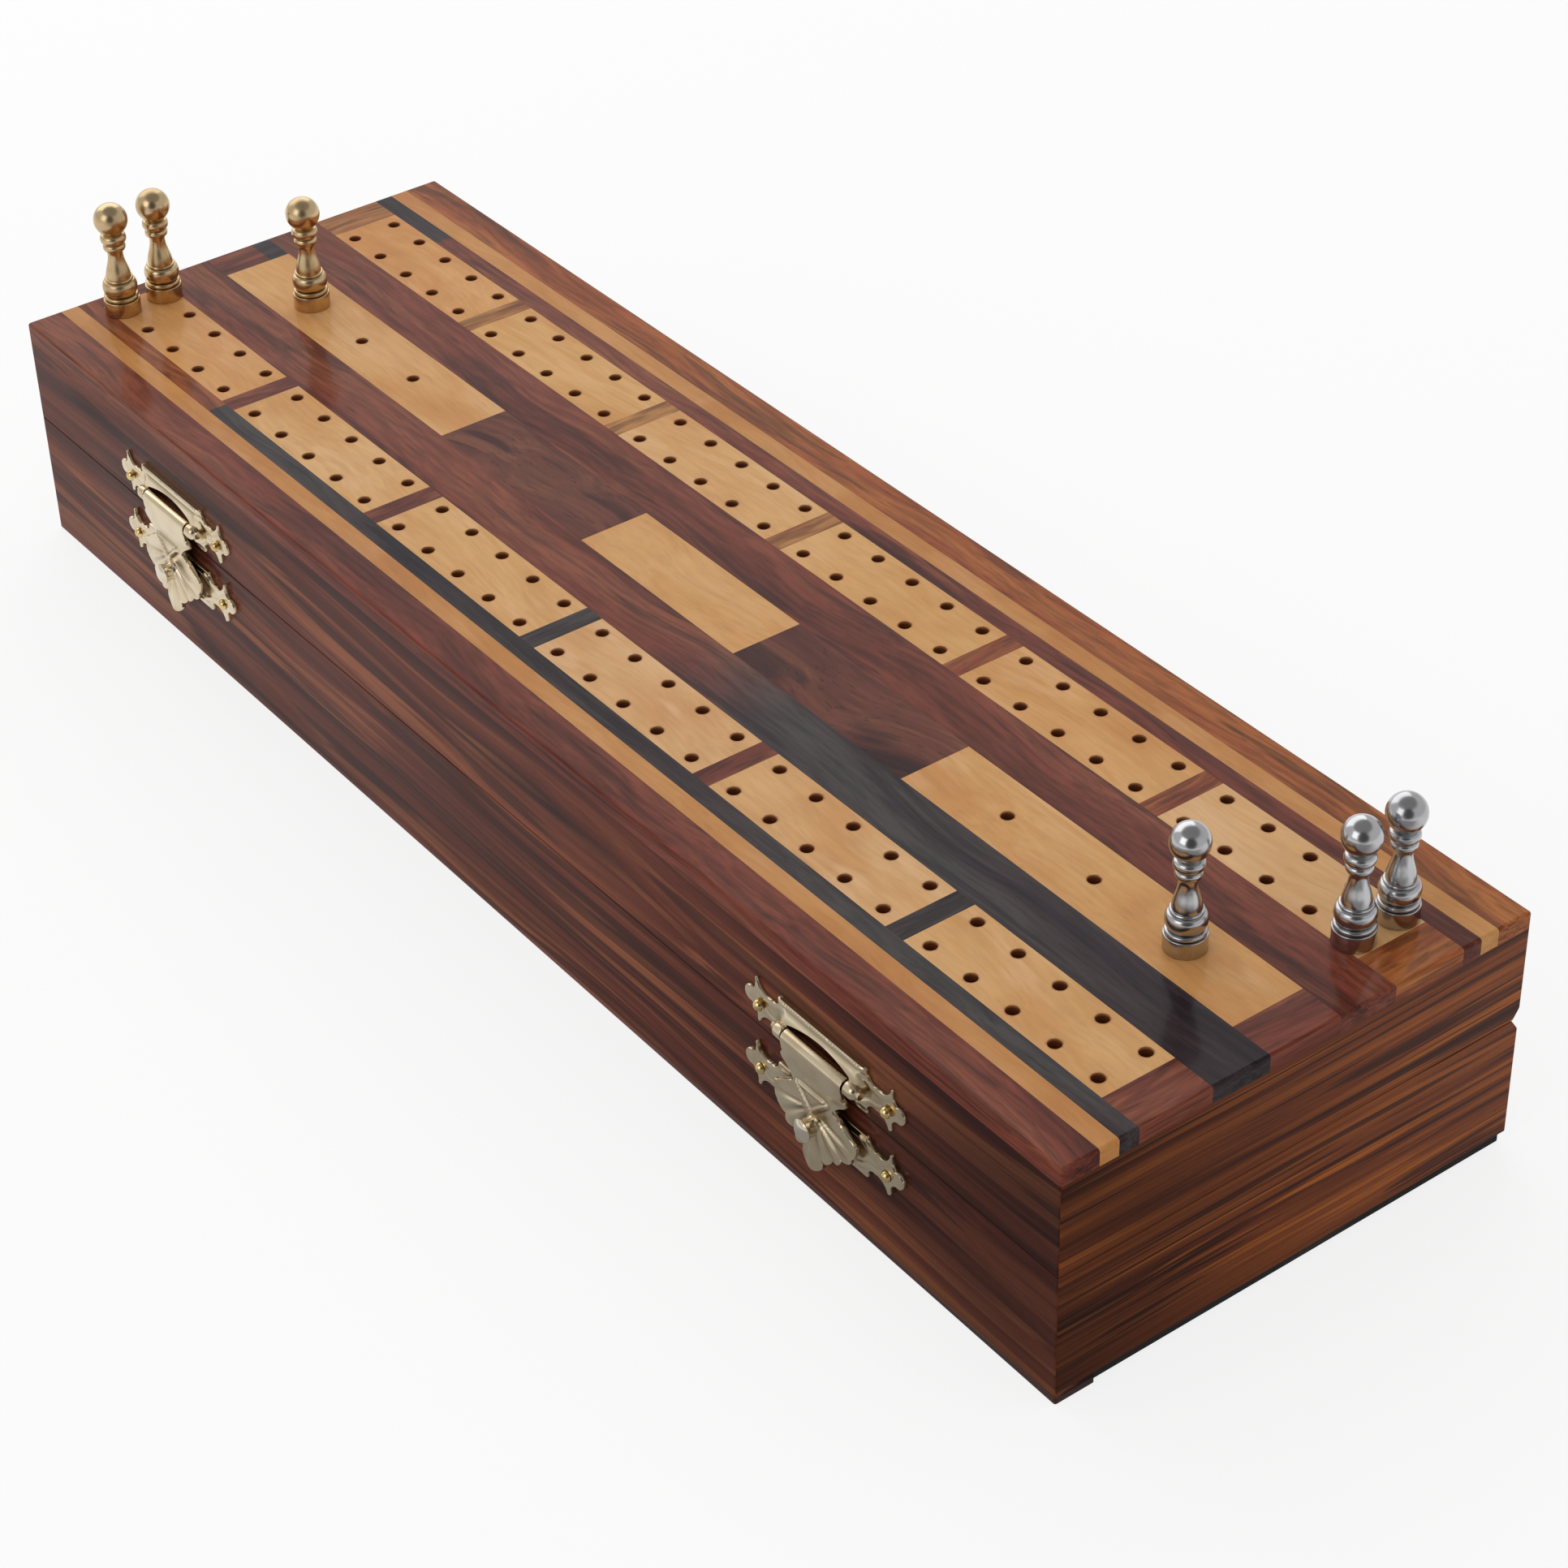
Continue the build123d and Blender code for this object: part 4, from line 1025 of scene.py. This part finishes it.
def plateFront(x, y):
    # A folded lip along the top, then a swell towards the slot, and a hollow beside each knuckle
    across = np.abs(x)
    inside = 1 - rise(across, 10.6, 12.2)
    lip = 0.7 * rise(y, 3.9, 4.6) * (1 - 0.6 * rise(y, 4.9, 6.2)) * inside
    swell = 1.25 * np.sqrt(np.clip((3.9 - y) / 2.6, 0, 1)) * (1 - rise(across + 0.3 * y, 9.6, 12.4))
    foot = rise(y, -3.9, -1.2)
    hollow = 0.5 * crest(np.hypot(across - 11.5, (y + 0.3) * 0.6), 0.0, 1.5)
    sheet = catch["sheet"] - 0.3
    return sheet + lip + swell * foot - hollow * 0.5 + wingRelief(x, y, catch["bodyHalf"])


def keeperFront(x, y):
    pad = (1 - rise(np.abs(x), 6.5, 8.5)) * (1 - rise(np.abs(y - 0.3), 2.4, 3.6))
    rim = 0.16 * crest(y, 3.7, 0.6) * (1 - rise(np.abs(x), 10.8, 11.8))
    foot = 0.16 * crest(y, -3.3, 0.6) * (1 - rise(np.abs(x), 10.8, 11.8))
    return catch["sheet"] + 0.35 * pad + rim + foot + wingRelief(x, y, catch["keeperHalf"])


def leafPlain(y):
    # Front face of the leaf before its relief, as a distance out from the wood
    size = catch
    full = size["pinOut"] + size["rollRadius"] + 0.02
    neck = full - (full - size["crookOut"]) * rise(-y, 0.3, size["crookDrop"] + 0.6)
    over = np.clip(y, 0, size["rollRadius"] * 0.9)
    neck -= size["rollRadius"] - np.sqrt(size["rollRadius"] ** 2 - over**2)
    fall = size["length"] - size["crookDrop"]
    share = np.clip((-y - size["crookDrop"]) / fall, 0, 1)
    return neck + (size["tipOut"] - size["crookOut"]) * share


def leafFront(x, y):
    # Domed across; flutes spread from under the V to the scallops; the V stands proud as a fold
    hub = -9.6
    flutePitch = math.radians(22.0)
    foldHalf, foldTop, foldFoot = 3.9, -6.6, -10.2
    across = np.abs(x)
    away = np.hypot(x, y - hub)
    turn = np.arctan2(across, hub - y)
    flutes = np.cos(turn * 2 * math.pi / flutePitch)
    depth = rise(away, 1.6, 4.0) * (1 - 0.55 * rise(away, 6.5, 12.0)) * (1 - rise(turn, 1.2, 1.45))
    slope = (foldTop - foldFoot) / foldHalf
    above = 1 - rise(across * slope - (y - foldFoot), -0.5, 0.5)
    above *= 1 - rise(y, -6.9, -6.2)
    vee = veinOf(across, y, [(foldHalf, foldTop), (0.0, foldFoot)], 0.75)
    vee = np.maximum(vee, veinOf(across, y, [(3.2, -6.3), (0.0, -6.3)], 0.6))
    dome = 0.45 * (1 - np.clip(x / 10.0, -1, 1) ** 2)
    relief = 0.3 * flutes * depth * (1 - above) + 0.5 * vee + 0.1 * above
    return leafPlain(y) + dome * rise(-y, 0.5, 4.0) + relief


def leafBack(x, y):
    return leafPlain(np.minimum(y, -2.7)) - 0.7


def joinedPiece(name, parts, place, crease=38.0):
    # Joins parts into one mesh at a place in row-frame millimetres
    vertices = []
    faces = []
    dips = []
    for partVertices, partFaces, partDips in parts:
        start = len(vertices)
        dips += partDips
        vertices += [(Vector(spot) + Vector(place)) * mm for spot in partVertices]
        faces += [tuple(index + start for index in face) for face in partFaces]
    mesh = bpy.data.meshes.new(name)
    mesh.from_pydata(vertices, [], faces)
    mesh.attributes.new("dip", "FLOAT", "POINT").data.foreach_set("value", dips)
    mesh.shade_smooth()
    mesh.set_sharp_from_angle(angle=math.radians(crease))
    return linkedObject(name, mesh)


def flatBack(x, y):
    return np.zeros(x.shape) + 0.01


plateParts = [meshSheet(plateLoop(), plateFront, flatBack)]
near = catch["slotHalf"] + 0.02
far = catch["bodyHalf"] - 0.5
for start, end, softStart, softEnd in ((near, far, 0.3, 1.3), (-far, -near, 1.3, 0.3)):
    plateParts.append(
        barPieces(catch["rollRadius"], start, end, catch["pinOut"], 40, softStart, softEnd)
    )
keeperParts = [meshSheet(keeperLoop(), keeperFront, flatBack)]
leafParts = [meshSheet(leafLoop(), leafFront, leafBack, True)]
half = catch["rollHalf"]
leafParts.append(barPieces(catch["rollRadius"], -half, half, catch["pinOut"], 48))
for side, sign in sides:
    x = sign * catch["spread"] / 2
    pinPlace = (x, -halfWidth, catch["pinHeight"])
    keeperPlace = (x, -halfWidth, catch["keeperHeight"])
    for piece, parts, place, body in (
        ("catch_plate_", plateParts, pinPlace, "lid"),
        ("keeper_plate_", keeperParts, keeperPlace, "base"),
        ("catch_leaf_", leafParts, pinPlace, "leaf_" + side),
    ):
        node = piece + side
        standIn(joinedPiece("look_" + node, parts, place), node, body, "catch_brass")


knob = {"rivet": 0.9, "stem": 1.85, "head": 2.15, "height": 3.4, "dome": 0.8}


def knobProfile(foot):
    # Distances out from the wood: rivet behind the leaf, stem, and a domed head
    size = knob
    end = foot + size["height"]
    sphere = (size["head"] ** 2 + size["dome"] ** 2) / (2 * size["dome"])
    half = math.degrees(math.asin(size["head"] / sphere))
    points = [(size["rivet"], foot - 0.8), (size["rivet"], foot)]
    points += [(size["stem"] + 0.15, foot + 0.15), (size["stem"], foot + 0.5)]
    neck = end - size["dome"] - 0.75
    points += [(size["stem"] - 0.1, (foot + neck) / 2), (size["stem"], neck)]
    points += [(size["head"] - 0.1, neck + 0.4), (size["head"], neck + 0.55)]
    points += arcPoints((0.0, end - sphere), sphere, 90 - half, 89.0, 12)
    return points


knobOut = float(leafPlain(-catch["knobDrop"]))
for side, sign in sides:
    place = (sign * catch["spread"] / 2, -halfWidth, catch["pinHeight"] - catch["knobDrop"])
    piece = spinMesh("look_knob_" + side, knobProfile(knobOut), place, "out", 64, 35.0)
    standIn(piece, "catch_knob_" + side, "leaf_" + side, "knob_metal")
print("catches are stamped")


# floorWhite is how much of the floor is plain white to the camera and to what mirrors it
studio = {
    "floorColor": (0.94, 0.94, 0.94, 1.0),
    "floorWhite": 0.8,
    "floorSize": 24.0,
    "worldLevel": 0.66,
    "cardColor": (0.03, 0.027, 0.024, 1.0),
}


def studioSheet(name, corners, hidden=True):
    # A flat sheet with an empty material; a hidden one is only seen in shiny surfaces
    mesh = bpy.data.meshes.new(name)
    mesh.from_pydata(corners, [], [tuple(range(len(corners)))])
    mesh.materials.append(newMaterial(name))
    sheet = linkedObject(name, mesh)
    if hidden:
        sheet.visible_camera = False
        sheet.visible_diffuse = False
        sheet.visible_shadow = False
    return sheet, mesh.materials[0].node_tree


def mixedSurface(tree, share, first, second):
    mixed = addNode(tree, "MixShader", {0: share, 1: first.outputs[0], 2: second.outputs[0]})
    addNode(tree, "OutputMaterial", {"Surface": mixed.outputs[0]})


def aimAt(obj, place, target):
    obj.location = place
    away = Vector(target) - Vector(place)
    obj.rotation_euler = away.to_track_quat("-Z", "Y").to_euler()


def whiteShare(tree, toCamera):
    # How much white a camera, glossy or transmission ray adds
    light = addNode(tree, "LightPath")
    rays = calc(tree, "ADD", light.outputs["Is Camera Ray"], light.outputs["Is Glossy Ray"])
    rays = calc(tree, "ADD", rays, light.outputs["Is Transmission Ray"])
    rays = calc(tree, "MINIMUM", rays, 1.0)
    return calc(tree, "MULTIPLY", rays, toCamera)


def addFloor():
    half = studio["floorSize"] / 2
    corners = [(-half, -half, 0), (half, -half, 0), (half, half, 0), (-half, half, 0)]
    floor, tree = studioSheet("floor", corners, hidden=False)
    matt = addNode(tree, "BsdfDiffuse", {"Color": studio["floorColor"]})
    white = addNode(tree, "Emission", {"Color": (1, 1, 1, 1), "Strength": 1.0})
    mixedSurface(tree, whiteShare(tree, studio["floorWhite"]), matt, white)


def setWorld():
    world = bpy.data.worlds.new("studio")
    bpy.context.scene.world = world
    world.use_nodes = True
    tree = world.node_tree
    tree.nodes.clear()
    settings = {"Color": (1, 1, 1, 1), "Strength": studio["worldLevel"]}
    background = addNode(tree, "Background", settings)
    addNode(tree, "OutputWorld", {"Surface": background.outputs[0]})


# Soft lamps behind the left end and in front; metres and watts
lamps = {
    "key": {"place": (-1.24, 0.38, 0.94), "size": (2.2, 1.5), "power": 11.5},
    "fill": {"place": (0.2, -1.5, 0.9), "size": (1.0, 1.0), "power": 4.0},
}


def addLamp(name, look):
    lamp = bpy.data.lights.new(name, "AREA")
    lamp.shape = "RECTANGLE"
    lamp.size, lamp.size_y = look["size"]
    lamp.energy = look["power"]
    aimAt(linkedObject(name, lamp), look["place"], (0, 0, 0.03))


# Dark cards, so that metal has something dark to mirror
cards = {
    "overhead": {"place": (0.15, 0, 1.3), "aim": (0.15, 0, 0), "radius": 1.5, "strength": 0.6},
    "beyond_camera": {"place": (1.05, -0.72, 0.6), "aim": (0, 0, 0.1), "radius": 1.0, "strength": 0.9},
}


def addCard(name, look):
    # A round card whose tone fades out towards its rim
    count = 48
    corners = []
    for number in range(count):
        angle = 2 * math.pi * number / count
        corners.append((look["radius"] * math.cos(angle), look["radius"] * math.sin(angle), 0))
    card, tree = studioSheet(name, corners)
    aimAt(card, look["place"], look["aim"])
    place = addNode(tree, "TexCoord").outputs["Object"]
    away = addNode(tree, "VectorMath", {0: place}, operation="LENGTH").outputs["Value"]
    share = fade(tree, away, look["radius"] * 0.45, look["radius"] * 0.98)
    share = calc(tree, "MAXIMUM", share, 1 - look["strength"])
    dark = addNode(tree, "BsdfDiffuse", {"Color": studio["cardColor"]})
    mixedSurface(tree, share, dark, addNode(tree, "BsdfTransparent"))


# A painted shadow: a dark sheet on the floor round the near corner, where the box's shadow falls, seen
# only in reflections, which the lacquer mirrors. It fades in from left to full, and out from back to
# end
floorShadowSheet = {
    "strength": 0.68,
    "left": -90.0,
    "full": 110.0,
    "right": 500.0,
    "front": -400.0,
    "back": -30.0,
    "end": 110.0,
    "lift": 1.5,
}


def addFloorShadowSheet():
    # Painted shadow of the box on the floor, seen only in shiny surfaces
    corners = [(floorShadowSheet["left"], floorShadowSheet["front"]), (floorShadowSheet["right"], floorShadowSheet["front"])]
    corners += [(floorShadowSheet["right"], floorShadowSheet["end"]), (floorShadowSheet["left"], floorShadowSheet["end"])]
    shadowSheet, tree = studioSheet("floorShadowSheet", [(x * mm, y * mm, floorShadowSheet["lift"] * mm) for x, y in corners])
    x, y, _ = axesInMm(tree)
    along = fade(tree, x, floorShadowSheet["left"], floorShadowSheet["full"])
    across = fade(tree, y, floorShadowSheet["back"], floorShadowSheet["end"], 1.0, 0.0)
    share = calc(tree, "MULTIPLY", calc(tree, "MULTIPLY", along, across), floorShadowSheet["strength"])
    dark = addNode(tree, "BsdfDiffuse", {"Color": studio["cardColor"]})
    mixedSurface(tree, share, addNode(tree, "BsdfTransparent"), dark)


# At the photograph's viewing angle, in metres, degrees and millimetres
camera = {
    "place": (0.47616, -0.32492, 0.42972),
    "turn": (53.4532, 1.3145, 53.0711),
    "lens": 85.6687,
}


def addCamera():
    data = bpy.data.cameras.new("camera")
    data.lens = camera["lens"]
    obj = linkedObject("camera", data)
    obj.location = camera["place"]
    obj.rotation_euler = [math.radians(angle) for angle in camera["turn"]]
    bpy.context.scene.camera = obj


addFloor()
setWorld()
for lampName, lampLook in lamps.items():
    addLamp(lampName, lampLook)
for cardName, cardLook in cards.items():
    addCard(cardName, cardLook)
addFloorShadowSheet()
addCamera()
bpy.context.scene.view_settings.view_transform = "Standard"
print("floor, lamps and camera are set")
